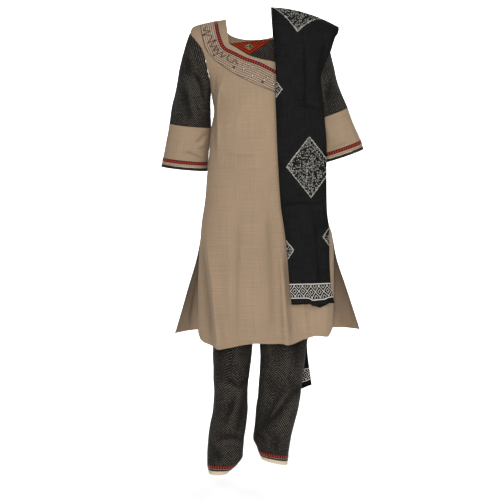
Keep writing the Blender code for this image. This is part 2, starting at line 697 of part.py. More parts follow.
def armhole_point(side, turn):
    """The armhole's own line: turn 0 is the shoulder tip, half a turn the underarm, by the front."""
    levels = FRONT_LEVELS if turn <= 0.5 else BACK_LEVELS
    down = 2 * turn if turn <= 0.5 else 2 * (1 - turn)
    tip = TIP_RIGHT_SIDE if side < 0 else TIP_LEFT_SIDE
    z = mix(tip.z, UNDERARM_Z, (1 - math.cos(math.pi * down)) / 2)
    left, right = panel_edges(levels, z)
    x = left if side < 0 else right
    folds = FRONT_FOLDS if levels is FRONT_LEVELS else BACK_FOLDS
    y = panel_y(levels, folds, x, z)
    if down > 0.999:
        y = 0.0
    return Vector((x, y, z))


def ring_point(ring, side, turn):
    """A point of a sleeve ring. It goes from the outer end by the front to the inner end and back."""
    angle = 2 * math.pi * turn
    outer = Vector((ring.outer_x, ring.mid_y, ring.outer_z))
    inner = Vector((ring.inner_x, ring.mid_y, ring.inner_z))
    depth = Vector((0, ring.half_depth, ring.tilt))
    squash = math.copysign(abs(math.sin(angle)) ** 0.92, math.sin(angle))
    point = (outer + inner) / 2 + (outer - inner) / 2 * math.cos(angle) - depth * squash
    if ring.armhole:
        seam = armhole_point(side, turn)
        away = Vector((side * ARMHOLE_GAP, 0, 0))
        point = point.lerp(seam + away, ring.armhole)
    return point


def row_between(table, at):
    """All columns of a table at a place that is counted in its rows."""
    kind = type(table[0])
    values = []
    for column in kind._fields:
        cells = [Cell(n, getattr(row, column)) for n, row in enumerate(table)]
        values.append(smooth_read(cells, "row", "value", at))
    return kind(*values)


def make_tube(name, rings, side, places, out, wall, material, collection):
    """A stretch of a sleeve, with one row of cells between each two places in its table of rings."""
    placed = [row_between(rings, at) for at in places]

    def place(i, j):
        ring = placed[j]
        point = ring_point(ring, side, (i % SLEEVE_COLUMNS) / SLEEVE_COLUMNS)
        middle_x = (ring.outer_x + ring.inner_x) / 2
        middle_z = (ring.outer_z + ring.inner_z) / 2
        return point + (point - Vector((middle_x, ring.mid_y, middle_z))).normalized() * out

    bm = sheet(SLEEVE_COLUMNS, len(places) - 1, place, outward=side < 0, closed=True)
    return finish_cloth(name, bm, material, collection, wall)


def make_sleeve(name_end, sleeve_rings, cuff_rings, side, materials, collection):
    last = len(cuff_rings) - 1
    gap = last * SEAM_GAP / CUFF_LENGTH
    piping = last - last * CUFF_PIPING_WIDTH / CUFF_LENGTH
    low, high = (last * share for share in CUFF_RIBBON_SPAN)
    dark, beige = materials["dark_print_cotton"], materials["beige_cotton"]
    sleeve_places = [n * 0.8 for n in range(11)]
    cuff_places = [gap, 0.9, 1.8, low, high, piping - gap]
    make_tube("sleeve_" + name_end, sleeve_rings, side, sleeve_places, 0, WALL, dark, collection)
    make_tube("cuff_" + name_end, cuff_rings, side, cuff_places, 0, WALL, beige, collection)
    make_tube("cuff_piping_" + name_end, cuff_rings, side, [piping, last], 0, WALL, dark, collection)
    make_tube(
        "cuff_ribbon_" + name_end, cuff_rings, side, [low, high],
        SEAM_GAP + TRIM_WALL, TRIM_WALL, materials["maroon_ribbon"], collection,
    )


def leg_ring_point(rings, side, turn, z, out=0.0):
    """A point of a salwar leg: turn 0 and 1 are its middle seam, half a turn is its outer side."""
    outer = smooth_read(rings, "z", "outer", z)
    inner = smooth_read(rings, "z", "inner", z)
    front = smooth_read(rings, "z", "front", z)
    back = smooth_read(rings, "z", "back", z)
    closing = min(1.0, max(0.0, (SEAT_Z - z) / (SEAT_Z - CROTCH_Z)))
    open_share = math.sqrt(max(0.0, 1 - closing * closing))
    reach = 1 - math.asin(open_share) / math.pi
    angle = math.pi * (2 * turn - 1) * reach
    end = math.cos(math.pi * reach)
    part = (math.cos(angle) - end) / (1 - end)
    size = max(0.0, 1 - abs(math.cos(angle)) ** SECTION_POWER) ** (1 / SECTION_POWER)
    depth = (front if angle < 0 else back) * size
    x = mix(inner, outer, part)
    if out:
        x += side * out * (2 * part - 1)
        depth += math.copysign(out * size, depth)
    if side > 0:
        down = min(1.0, max(0.0, (HEM_TILT_TOP_Z - z) / (HEM_TILT_TOP_Z - rings[-1].z)))
        z += LEFT_HEM_TILT * down * (0.5 - part)
    return Vector((x, depth, z))


def make_leg_piece(name, rings, side, heights, out, wall, material, collection):
    """A stretch of a leg as a tube, which is open along the middle seam above the crotch."""

    def place(i, j):
        z = heights[j]
        turn = i / LEG_COLUMNS
        if z <= CROTCH_Z and i == LEG_COLUMNS:
            turn = 0.0
        return leg_ring_point(rings, side, turn, z, out)

    bm = sheet(LEG_COLUMNS, len(heights) - 1, place, outward=side > 0, closed=True)
    return finish_cloth(name, bm, material, collection, wall)


def make_leg(name_end, rings, side, materials, collection):
    dark = materials["dark_print_cotton"]
    hem_z = rings[-1].z
    strip_top = hem_z + LEG_STRIP_WIDTH
    ribbon_low = strip_top + LEG_RIBBON_RISE
    ribbon = [ribbon_low + LEG_RIBBON_WIDTH, ribbon_low]
    seat = [mix(SEAT_Z, CROTCH_Z, share) for share in (0.0, 0.35, 0.65, 0.85, 0.95, 1.0)]
    heights = [ring.z for ring in rings if ring.z > SEAT_Z] + seat
    heights += [ring.z for ring in rings if CROTCH_Z > ring.z > ribbon[0] + 8]
    heights += ribbon + [strip_top + LEG_HEM_GAP]
    make_leg_piece("salwar_leg_" + name_end, rings, side, heights, 0, WALL, dark, collection)
    make_leg_piece(
        "leg_border_" + name_end, rings, side, [strip_top, hem_z], 0, WALL,
        materials["cream_border"], collection,
    )
    make_leg_piece(
        "leg_ribbon_" + name_end, rings, side, ribbon,
        2 * SEAM_GAP + TRIM_WALL, TRIM_WALL, materials["maroon_ribbon"], collection,
    )


def make_waistband(material, collection):
    around = 36
    right, left = LEG_RIGHT_RINGS[0], LEG_LEFT_RINGS[0]
    half = (left.outer - right.outer) / 2
    middle = (left.outer + right.outer) / 2

    def place(i, j):
        angle = 2 * math.pi * (i % around) / around
        c, s = math.cos(angle), math.sin(angle)
        x = middle + half * math.copysign(abs(c) ** (2 / SECTION_POWER), c)
        depth = abs(s) ** (2 / SECTION_POWER) * (right.back if s > 0 else right.front)
        return Vector((x, depth, right.z + SEAM_GAP + WAISTBAND_WIDTH * (1 - j)))

    bm = sheet(around, 1, place, outward=False, closed=True)
    return finish_cloth("salwar_waistband", bm, material, collection, 2 * WALL)


def layer_steps(cells):
    """Places across the folded cloth: it runs to and fro, and turns between two layers."""
    steps = []
    for layer in range(DUPATTA_LAYERS):
        places = [n / cells for n in range(cells + 1)]
        if layer % 2:
            places.reverse()
        steps += [(place, layer) for place in places]
        if layer < DUPATTA_LAYERS - 1:
            beyond = -1 if layer % 2 else 1
            steps.append((places[-1] + beyond * DUPATTA_TUCK / DUPATTA_WIDTH, layer + 0.5))
    return steps


def rib_point(rib, place, layer):
    """A point of the folded dupatta: place runs from its neck edge to its shoulder edge."""
    left = Vector((rib.left_x, rib.left_y, rib.left_z))
    right = Vector((rib.right_x, rib.right_y, rib.right_z))
    face = math.radians(rib.face)
    out = Vector((0, -math.cos(face), math.sin(face)))
    tuck = DUPATTA_TUCK * (DUPATTA_LAYERS - 1 - layer) / DUPATTA_WIDTH
    place = mix(tuck, 1 - tuck, place)
    across = 4 * place * (1 - place)
    return left.lerp(right, place) + out * (rib.bow * across + rib.pitch * layer)


def make_dupatta(name, ribs, start, end, rows, cells, material, collection):
    steps = layer_steps(cells)
    placed = [row_between(ribs, mix(start, end, j / rows)) for j in range(rows + 1)]

    def place(i, j):
        return rib_point(placed[j], *steps[i])

    bm = sheet(len(steps) - 1, rows, place)
    return finish_cloth(name, bm, material, collection, DUPATTA_WALL, offset=0.0)


def build():
    clear_scene()
    collection = bpy.data.collections.new("salwar_kameez_suit")
    bpy.context.scene.collection.children.link(collection)
    materials = {name: make_material(name) for name in FINISHES}
    beige = materials["beige_cotton"]
    make_front(beige, collection)
    make_back(beige, collection)
    make_yoke(materials["dark_print_cotton"], collection)
    make_yoke_patch(materials["red_patch"], collection)
    make_neck_ribbon(materials["maroon_ribbon"], collection)
    make_embroidered_band(materials["kantha_band"], collection)
    make_sleeve("right", SLEEVE_RIGHT_RINGS, CUFF_RIGHT_RINGS, -1, materials, collection)
    make_sleeve("left", SLEEVE_LEFT_RINGS, CUFF_LEFT_RINGS, 1, materials, collection)
    make_leg("right", LEG_RIGHT_RINGS, -1, materials, collection)
    make_leg("left", LEG_LEFT_RINGS, 1, materials, collection)
    make_waistband(materials["dark_print_cotton"], collection)
    black = materials["black_dupatta_cotton"]
    joint = len(DUPATTA_FRONT_RIBS) - 1
    ribs = DUPATTA_FRONT_RIBS + DUPATTA_BACK_RIBS
    make_dupatta("dupatta_front", ribs, 0, joint + 0.49, 17, 4, black, collection)
    make_dupatta("dupatta_back", ribs, joint + 0.51, len(ribs) - 1, 17, 4, black, collection)


build()
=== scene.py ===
"""Salwar kameez suit, dressed: every cloth at full detail with its prints, ribbons and needlework.

Tables are in millimetres from the middle of the shoulder line. X runs to the wearer's left, Y to
the back and Z up. A row of a table is one level, ring, rib, fold or crease of the cloth.
"""

import math
from collections import namedtuple

import bmesh
import bpy
import numpy as np
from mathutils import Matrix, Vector


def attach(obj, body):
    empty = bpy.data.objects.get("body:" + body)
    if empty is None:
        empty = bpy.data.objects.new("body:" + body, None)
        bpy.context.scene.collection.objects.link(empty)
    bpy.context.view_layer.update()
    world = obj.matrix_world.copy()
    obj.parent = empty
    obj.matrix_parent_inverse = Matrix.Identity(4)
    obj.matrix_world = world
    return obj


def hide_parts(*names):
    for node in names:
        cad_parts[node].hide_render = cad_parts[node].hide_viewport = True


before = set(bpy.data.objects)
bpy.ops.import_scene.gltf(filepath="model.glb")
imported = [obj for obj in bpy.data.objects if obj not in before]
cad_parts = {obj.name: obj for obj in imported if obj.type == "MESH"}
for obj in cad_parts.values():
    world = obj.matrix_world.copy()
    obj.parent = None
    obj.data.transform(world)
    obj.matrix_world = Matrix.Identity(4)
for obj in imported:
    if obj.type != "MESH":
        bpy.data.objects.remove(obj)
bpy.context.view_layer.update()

MM = 0.001
SEAM_GAP = 0.3
SHOULDER_ROUND = 60.0
SHOULDER_SEAM_HALF = 0.27
SECTION_POWER = 2.4

# A point on a line that is drawn on a panel.
Spot = namedtuple("Spot", "x z")
# A point of such a line at a length along it.
Knot = namedtuple("Knot", "at x z")
# One value of a table's column at a row of that table.
Cell = namedtuple("Cell", "row value")

# The shoulder seams, each from the neck to the tip of the shoulder.
NECK_RIGHT_SIDE = Spot(-104, 2)
TIP_RIGHT_SIDE = Spot(-216, -41)
NECK_LEFT_SIDE = Spot(80, 8)
TIP_LEFT_SIDE = Spot(203, -33)
# How far the right shoulder seam rises above a straight line. The left one lies flat under the dupatta.
SHOULDER_RISE = 20.8
UNDERARM_Z = -236.0

BACK_STRAP_DROP = 22.0
BACK_NECK_DROP = 32.0
YOKE_LEFT_X = -99.0
YOKE_UNDERLAP = 14.0

DUPATTA_LAYERS = 4
DUPATTA_WIDTH = 140.0
DUPATTA_TUCK = 1.2

# One level of a body panel: its two edges, how far forward or back each edge and the middle lie,
# and how square the section turns at the edges.
Level = namedtuple("Level", "z left right left_y right_y mid turn")

FRONT_LEVELS = [
    Level(z=10, left=-216, right=203, left_y=-36, right_y=-36, mid=-60, turn=1.0),
    Level(z=-41, left=-216, right=203, left_y=-36, right_y=-36, mid=-70, turn=1.0),
    Level(z=-76, left=-194, right=182, left_y=-46, right_y=-46, mid=-84, turn=1.0),
    Level(z=-101, left=-177, right=165, left_y=-54, right_y=-54, mid=-94, turn=1.0),
    Level(z=-127, left=-168, right=156, left_y=-58, right_y=-58, mid=-102, turn=1.0),
    Level(z=-157, left=-162, right=150, left_y=-57, right_y=-57, mid=-109, turn=1.1),
    Level(z=-186, left=-155, right=144, left_y=-48, right_y=-48, mid=-114, turn=1.3),
    Level(z=-212, left=-152, right=142, left_y=-35, right_y=-35, mid=-117, turn=1.7),
    Level(z=-228, left=-151, right=141, left_y=-18, right_y=-18, mid=-118, turn=2.1),
    Level(z=-236, left=-150, right=141, left_y=0, right_y=0, mid=-119, turn=2.4),
    Level(z=-290, left=-142, right=141, left_y=0, right_y=0, mid=-117, turn=2.4),
    Level(z=-337, left=-150, right=151, left_y=0, right_y=0, mid=-113, turn=2.4),
    Level(z=-410, left=-156, right=167, left_y=0, right_y=0, mid=-108, turn=2.4),
    Level(z=-491, left=-164, right=186, left_y=0, right_y=0, mid=-110, turn=2.4),
    Level(z=-567, left=-170, right=205, left_y=0, right_y=0, mid=-117, turn=2.4),
    Level(z=-643, left=-181, right=220, left_y=0, right_y=0, mid=-123, turn=2.4),
    Level(z=-680, left=-184, right=231, left_y=0, right_y=0, mid=-126, turn=2.4),
    Level(z=-743, left=-188, right=234, left_y=-10, right_y=-10, mid=-131, turn=2.4),
    Level(z=-844, left=-191, right=234, left_y=-26, right_y=-28, mid=-142, turn=2.4),
    Level(z=-945, left=-191, right=230, left_y=-38, right_y=-42, mid=-152, turn=2.4),
    Level(z=-1030, left=-189, right=225, left_y=-44, right_y=-50, mid=-158, turn=2.4),
]

BACK_LEVELS = [
    Level(z=10, left=-216, right=203, left_y=38, right_y=38, mid=70, turn=1.0),
    Level(z=-41, left=-216, right=203, left_y=38, right_y=38, mid=78, turn=1.0),
    Level(z=-76, left=-194, right=182, left_y=50, right_y=50, mid=92, turn=1.0),
    Level(z=-101, left=-177, right=165, left_y=58, right_y=58, mid=99, turn=1.0),
    Level(z=-127, left=-168, right=156, left_y=62, right_y=62, mid=103, turn=1.0),
    Level(z=-157, left=-162, right=150, left_y=61, right_y=61, mid=105, turn=1.1),
    Level(z=-186, left=-155, right=144, left_y=52, right_y=52, mid=105, turn=1.3),
    Level(z=-212, left=-152, right=142, left_y=38, right_y=38, mid=104, turn=1.7),
    Level(z=-228, left=-151, right=141, left_y=20, right_y=20, mid=102, turn=2.1),
    Level(z=-236, left=-150, right=141, left_y=0, right_y=0, mid=101, turn=2.4),
    Level(z=-290, left=-142, right=141, left_y=0, right_y=0, mid=96, turn=2.4),
    Level(z=-337, left=-150, right=151, left_y=0, right_y=0, mid=91, turn=2.4),
    Level(z=-410, left=-156, right=167, left_y=0, right_y=0, mid=88, turn=2.4),
    Level(z=-491, left=-164, right=186, left_y=0, right_y=0, mid=98, turn=2.4),
    Level(z=-567, left=-170, right=205, left_y=0, right_y=0, mid=110, turn=2.4),
    Level(z=-643, left=-181, right=220, left_y=0, right_y=0, mid=120, turn=2.4),
    Level(z=-680, left=-184, right=231, left_y=0, right_y=0, mid=124, turn=2.4),
    Level(z=-743, left=-195, right=243, left_y=0, right_y=0, mid=130, turn=2.4),
    Level(z=-844, left=-224, right=276, left_y=2, right_y=2, mid=140, turn=2.2),
    Level(z=-945, left=-253, right=309, left_y=4, right_y=4, mid=148, turn=2.0),
    Level(z=-1000, left=-270, right=326, left_y=5, right_y=5, mid=153, turn=2.0),
]

# One fold that grows from its top down to the hem. Height is outward at the hem.
Fold = namedtuple("Fold", "top_x top_z hem_x half_width height")

FRONT_FOLDS = [
    Fold(top_x=-160, top_z=-640, hem_x=-126, half_width=20, height=27),
    Fold(top_x=-178, top_z=-660, hem_x=-158, half_width=20, height=-8),
    Fold(top_x=60, top_z=-620, hem_x=84, half_width=17, height=14),
    Fold(top_x=100, top_z=-600, hem_x=165, half_width=46, height=-20),
    Fold(top_x=-20, top_z=-600, hem_x=-20, half_width=50, height=-6),
]

BACK_FOLDS = [
    Fold(top_x=-130, top_z=-600, hem_x=-182, half_width=26, height=-22),
    Fold(top_x=-110, top_z=-560, hem_x=-125, half_width=24, height=16),
    Fold(top_x=-30, top_z=-600, hem_x=-36, half_width=34, height=-10),
    Fold(top_x=60, top_z=-560, hem_x=62, half_width=30, height=14),
    Fold(top_x=130, top_z=-600, hem_x=160, half_width=30, height=-14),
    Fold(top_x=170, top_z=-640, hem_x=232, half_width=26, height=-20),
]

# The lower edge of a panel, from its left edge to its right edge.
Hem = namedtuple("Hem", "across z")

FRONT_HEM = [
    Hem(across=0.0, z=-978), Hem(across=0.02, z=-1000), Hem(across=0.053, z=-1010),
    Hem(across=0.11, z=-1016), Hem(across=0.16, z=-1026), Hem(across=0.42, z=-1009),
    Hem(across=0.62, z=-1010), Hem(across=0.66, z=-1013), Hem(across=0.80, z=-996),
    Hem(across=0.88, z=-989), Hem(across=0.96, z=-992), Hem(across=0.985, z=-980),
    Hem(across=1.0, z=-964),
]
BACK_HEM = [
    Hem(across=0.0, z=-987), Hem(across=0.12, z=-980), Hem(across=0.5, z=-982),
    Hem(across=0.88, z=-974), Hem(across=1.0, z=-975),
]

OVERLAP_EDGE = [
    Spot(-93, -87), Spot(-62, -107), Spot(-32, -126), Spot(8, -139), Spot(47, -147),
    Spot(95, -166), Spot(143, -186),
]
RIBBON_LINE = [
    Spot(-136, -5), Spot(-128, -51), Spot(-116, -89), Spot(-107, -103), Spot(-78, -120),
    Spot(-41, -139), Spot(1, -155), Spot(43, -176), Spot(95, -201), Spot(122, -212),
]
BAND_LOWER_LINE = [
    Spot(-184, -17), Spot(-169, -90), Spot(-150, -122), Spot(-119, -152), Spot(-69, -187),
    Spot(-16, -215), Spot(43, -240), Spot(94, -262), Spot(116, -270),
]
RIBBON_WIDTH = 12.0
PATCH_LEFT_X = -88.0
PATCH_RIGHT_X = 36.0
PATCH_TIP_X = -30.0
PATCH_MARGIN = 1.5

# One ring of a sleeve: its outer and inner ends, the depth of its middle, its half depth, how far
# its front hangs lower than its back, and how much of the armhole's own shape it keeps.
Ring = namedtuple("Ring", "outer_x outer_z inner_x inner_z mid_y half_depth tilt armhole")

SLEEVE_RIGHT_RINGS = [
    Ring(-217, -41, -152, -238, 0, 60, 0, 1.0),
    Ring(-227, -57, -153, -245, 1, 60, 1, 0.74),
    Ring(-235, -82, -153, -251, 2, 61, 2, 0.48),
    Ring(-243, -113, -153, -260, 5, 62, 3, 0.27),
    Ring(-251, -148, -153, -272, 8, 63, 4, 0.12),
    Ring(-259, -195, -152, -289, 12, 64, 6, 0.0),
    Ring(-270, -246, -152, -307, 18, 64, 7, 0.0),
    Ring(-278, -286, -152, -324, 23, 63, 9, 0.0),
    Ring(-284, -323, -152, -336, 28, 62, 10, 0.0),
]
CUFF_RIGHT_RINGS = [
    Ring(-284, -323, -152, -336, 28, 62, 10, 0.0),
    Ring(-292, -368, -155, -381, 34, 61, 11, 0.0),
    Ring(-301, -413, -160, -427, 40, 61, 10, 0.0),
    Ring(-310, -458, -164, -472, 45, 62, 9, 0.0),
]
SLEEVE_LEFT_RINGS = [
    Ring(204, -33, 143, -238, 0, 60, 0, 1.0),
    Ring(214, -52, 144, -245, 1, 60, 1, 0.74),
    Ring(222, -80, 144, -251, 2, 61, 2, 0.48),
    Ring(230, -113, 145, -259, 5, 62, 3, 0.27),
    Ring(238, -150, 146, -268, 8, 63, 4, 0.12),
    Ring(247, -190, 148, -281, 12, 64, 6, 0.0),
    Ring(260, -228, 151, -295, 18, 64, 7, 0.0),
    Ring(272, -253, 154, -308, 23, 63, 9, 0.0),
    Ring(281, -272, 158, -317, 28, 62, 10, 0.0),
]
CUFF_LEFT_RINGS = [
    Ring(281, -272, 158, -317, 28, 62, 10, 0.0),
    Ring(298, -316, 168, -362, 34, 61, 11, 0.0),
    Ring(317, -358, 179, -405, 40, 61, 10, 0.0),
    Ring(333, -402, 192, -449, 45, 62, 9, 0.0),
]
CUFF_RIBBON_SPAN = (0.78, 0.865)
CUFF_PIPING_WIDTH = 9.5
CUFF_LENGTH = 140.0

# One ring of a salwar leg: its outer and inner side, and how far it reaches to the front and back.
LegRing = namedtuple("LegRing", "z outer inner front back")

LEG_RIGHT_RINGS = [
    LegRing(z=-470, outer=-146, inner=14, front=-104.6, back=82),
    LegRing(z=-560, outer=-163, inner=17, front=-107, back=98),
    LegRing(z=-660, outer=-177, inner=21, front=-112, back=108),
    LegRing(z=-760, outer=-178, inner=14, front=-104, back=104),
    LegRing(z=-850, outer=-164, inner=-4, front=-92, back=92),
    LegRing(z=-950, outer=-151, inner=-12, front=-80, back=80),
    LegRing(z=-1046, outer=-145, inner=-22, front=-70, back=72),
    LegRing(z=-1121, outer=-145, inner=-31, front=-66, back=68),
    LegRing(z=-1172, outer=-142, inner=-35, front=-64, back=64),
    LegRing(z=-1222, outer=-145, inner=-35, front=-62, back=64),
    LegRing(z=-1273, outer=-154, inner=-41, front=-60, back=66),
    LegRing(z=-1323, outer=-161, inner=-47, front=-58, back=66),
    LegRing(z=-1373, outer=-164, inner=-50, front=-58, back=64),
    LegRing(z=-1399, outer=-162, inner=-70, front=-57, back=58),
    LegRing(z=-1424, outer=-158, inner=-98, front=-54, back=50),
]
LEG_LEFT_RINGS = [
    LegRing(z=-470, outer=164, inner=14.6, front=-104.6, back=82),
    LegRing(z=-560, outer=196, inner=17.6, front=-107, back=98),
    LegRing(z=-660, outer=218, inner=21.6, front=-112, back=108),
    LegRing(z=-760, outer=214, inner=14.6, front=-104, back=104),
    LegRing(z=-850, outer=188, inner=4, front=-92, back=92),
    LegRing(z=-950, outer=164, inner=3, front=-80, back=80),
    LegRing(z=-1046, outer=148, inner=3, front=-70, back=72),
    LegRing(z=-1121, outer=139, inner=0, front=-66, back=68),
    LegRing(z=-1172, outer=132, inner=-3, front=-64, back=64),
    LegRing(z=-1222, outer=123, inner=-9, front=-62, back=64),
    LegRing(z=-1273, outer=110, inner=-13, front=-60, back=66),
    LegRing(z=-1323, outer=97, inner=-18, front=-58, back=66),
    LegRing(z=-1348, outer=94, inner=-8, front=-56, back=60),
    LegRing(z=-1388, outer=90, inner=7, front=-54, back=52),
]
SEAT_Z = -600.0
CROTCH_Z = -790.0
LEG_RIBBON_WIDTH = 11.0
LEG_STRIP_WIDTH = 11.0
LEG_RIBBON_RISE = 7.0
# How much lower the left leg's hem is on its outer side than on its inner side. The slant starts
# at the top height.
LEFT_HEM_TILT = 18.0
HEM_TILT_TOP_Z = -1180.0
WAISTBAND_WIDTH = 34.0

# One rib across the folded dupatta, from its neck edge to its shoulder edge, on the inmost layer.
# Face is the way its outer side looks: 0 to the front, 90 up, 180 to the back. Pitch is the
# distance from one layer to the next.
Rib = namedtuple("Rib", "left_x left_y left_z right_x right_y right_z bow face pitch")

DUPATTA_FRONT_RIBS = [
    Rib(98, -147, -889, 230, -94, -886, 3, 0, 2.3),
    Rib(92, -144, -826, 219, -94, -824, 5, 0, 2.3),
    Rib(86, -135, -745, 216, -85, -743, 8, 0, 2.3),
    Rib(78, -127, -668, 216, -77, -668, 11, 0, 2.3),
    Rib(67, -121, -592, 209, -74, -592, 11, 0, 2.3),
    Rib(60, -113, -491, 208, -72, -491, 8, 0, 2.3),
    Rib(56, -111, -410, 208, -72, -410, 6, 0, 2.3),
    Rib(53, -114, -330, 203, -72, -330, 6, 2, 2.3),
    Rib(50, -120, -250, 195, -72, -250, 8, 4, 2.3),
    Rib(52, -117, -200, 190, -70, -200, 8, 6, 2.4),
    Rib(50, -108, -150, 203, -64, -150, 7, 10, 2.8),
    Rib(48, -97, -112, 222, -58, -112, 7, 18, 3.6),
    Rib(46, -87, -80, 230, -48, -88, 7, 28, 4.6),
    Rib(44, -70, -37, 238, -36, -66, 8, 42, 6.0),
    Rib(41, -43, -5, 246, -21, -54, 9, 62, 7.4),
]
DUPATTA_BACK_RIBS = [
    Rib(38, -15, 14, 252, -4, -48, 11, 84, 7.8),
    Rib(39, 18, 16, 252, 14, -48, 11, 98, 7.6),
    Rib(41, 53, 3, 246, 38, -53, 10, 122, 6.6),
    Rib(45, 80, -38, 236, 52, -76, 8, 146, 5.2),
    Rib(46, 97, -92, 224, 62, -112, 5, 162, 3.8),
    Rib(46, 104, -160, 212, 74, -170, 5, 172, 2.8),
    Rib(46, 104, -250, 202, 83, -256, 5, 178, 2.4),
    Rib(46, 107, -360, 196, 88, -360, 5, 180, 2.3),
    Rib(44, 112, -480, 188, 92, -480, 6, 180, 2.3),
    Rib(40, 118, -600, 180, 97, -600, 7, 180, 2.3),
    Rib(36, 133, -720, 170, 111, -720, 8, 180, 2.3),
    Rib(32, 149, -850, 162, 128, -850, 9, 180, 2.3),
    Rib(30, 169, -970, 156, 147, -970, 8, 180, 2.3),
    Rib(34, 172, -1070, 160, 154, -1060, 6, 180, 2.3),
    Rib(40, 172, -1212, 174, 156, -1160, 5, 180, 2.3),
]
SHOWN_WALL = 0.9
SHOWN_TRIM = 0.7
SHOWN_EASE = 0.5
SHOWN_ARMHOLE_GAP = 0.7
SHOWN_LAYERS = 6
SHOWN_LAYER_WALL = 0.6
OUTER_PUFF = 3.0
# How round the crest of a crease is, as a share of its spread.
CREST = 0.22

# A crease or a soft ridge: its line over the cloth, how far it spreads, and how far it stands out.
# Face is -1 on the front, 1 on the back and 0 on both.
Crease = namedtuple("Crease", "line spread height face")

KAMEEZ_FRONT_CREASES = [
    Crease([(-106, -176), (-120, -220), (-128, -270), (-127, -340), (-126, -450)], 7, 3.0, -1),
    Crease([(-132, -170), (-140, -250), (-139, -330), (-136, -440)], 7, -3.0, -1),
    Crease([(-166, -655), (-156, -740), (-141, -850), (-126, -1030)], 5, 4.5, -1),
    Crease([(-178, -700), (-170, -800), (-158, -900), (-146, -1010)], 8, -3.5, -1),
    Crease([(-183, -760), (-186, -860), (-186, -980)], 4, 2.0, -1),
    Crease([(-14, -420), (-15, -700), (-14, -1010)], 9, 1.6, -1),
    Crease([(24, -560), (32, -760), (40, -1010)], 14, -1.8, -1),
    Crease([(62, -700), (72, -850), (80, -1018)], 5, 4.2, -1),
    Crease([(76, -720), (88, -860), (98, -1014)], 8, -3.4, -1),
    Crease([(120, -760), (136, -900), (150, -1010)], 9, 2.4, -1),
    Crease([(196, -800), (205, -900), (208, -985)], 7, 2.6, -1),
    Crease([(-40, -250), (-70, -330), (-80, -430)], 16, 1.3, -1),
    Crease([(60, -300), (84, -380), (92, -480)], 16, -1.4, -1),
    Crease([(-120, -420), (-60, -436), (10, -430)], 10, -0.9, -1),
    Crease([(-110, -470), (-40, -486), (40, -478)], 12, 0.8, -1),
    Crease([(-60, -560), (-66, -760), (-70, -1000)], 12, -1.2, -1),
    Crease([(-96, -600), (-92, -800), (-90, -1010)], 10, 1.3, -1),
    Crease([(-200, -48), (-186, -88), (-170, -128)], 6, 1.3, -1),
]
KAMEEZ_BACK_CREASES = [
    Crease([(-120, -190), (-96, -290), (-100, -420)], 14, 2.6, 1),
    Crease([(112, -190), (92, -290), (98, -420)], 14, 2.6, 1),
    Crease([(-60, -360), (0, -376), (60, -364)], 9, -2.2, 1),
    Crease([(-80, -404), (-10, -424), (76, -408)], 10, 2.4, 1),
    Crease([(-70, -446), (0, -462), (70, -452)], 10, -2.0, 1),
    Crease([(-130, -560), (-152, -740), (-180, -980)], 9, 3.5, 1),
    Crease([(-96, -600), (-112, -780), (-124, -975)], 9, -3.0, 1),
    Crease([(-30, -520), (-38, -740), (-40, -980)], 11, 2.6, 1),
    Crease([(14, -540), (16, -760), (16, -980)], 11, -2.4, 1),
    Crease([(62, -520), (66, -740), (70, -980)], 10, 3.0, 1),
    Crease([(120, -560), (140, -760), (160, -975)], 10, -3.2, 1),
    Crease([(160, -600), (200, -780), (240, -970)], 9, 3.0, 1),
    Crease([(-178, -700), (-210, -840), (-236, -975)], 7, -2.4, 1),
    Crease([(-196, -62), (-170, -110), (-140, -150)], 9, 1.6, 1),
    Crease([(186, -56), (160, -104), (134, -146)], 9, 1.6, 1),
    Crease([(-226, -880), (-226, -940), (-222, -985)], 5, -1.6, 1),
    Crease([(280, -880), (290, -930), (298, -972)], 6, 1.8, 1),
]
SLEEVE_RIGHT_CREASES = [
    Crease([(-215, -88), (-208, -125), (-193, -176)], 7, 3.4, -1),
    Crease([(-226, -110), (-222, -150), (-214, -190)], 8, -2.4, -1),
    Crease([(-225, -190), (-211, -250), (-197, -300), (-187, -338)], 6, 4.0, -1),
    Crease([(-239, -200), (-226, -260), (-212, -330)], 8, -3.0, -1),
    Crease([(-207, -178), (-196, -182), (-184, -204), (-172, -240)], 6, -5.0, -1),
    Crease([(-210, -190), (-200, -200), (-188, -226), (-178, -262)], 6, 3.6, -1),
    Crease([(-196, -216), (-186, -232), (-168, -256)], 5, -3.4, -1),
    Crease([(-192, -262), (-178, -284), (-160, -300)], 6, 2.4, -1),
    Crease([(-254, -220), (-258, -260), (-266, -310)], 9, 1.8, -1),
    Crease([(-250, -120), (-224, -150), (-186, -180)], 9, 2.6, 1),
    Crease([(-262, -200), (-226, -224), (-176, -232)], 8, -3.4, 1),
    Crease([(-266, -226), (-230, -252), (-170, -262)], 9, 3.2, 1),
    Crease([(-272, -262), (-236, -284), (-180, -290)], 9, -2.6, 1),
]
SLEEVE_LEFT_CREASES = [
    Crease([(188, -160), (192, -200), (199, -245), (206, -270)], 5, 4.2, -1),
    Crease([(224, -190), (218, -225), (208, -262)], 7, -4.0, -1),
    Crease([(242, -186), (246, -215), (252, -245)], 9, 2.4, -1),
    Crease([(214, -80), (216, -120), (212, -160)], 9, 2.0, -1),
    Crease([(172, -222), (182, -250), (180, -286)], 6, -2.6, -1),
    Crease([(238, -120), (210, -150), (174, -182)], 9, 2.6, 1),
    Crease([(252, -186), (214, -214), (168, -226)], 8, -3.4, 1),
    Crease([(262, -214), (222, -242), (170, -254)], 9, 3.2, 1),
    Crease([(270, -240), (234, -262), (180, -278)], 8, -2.4, 1),
]
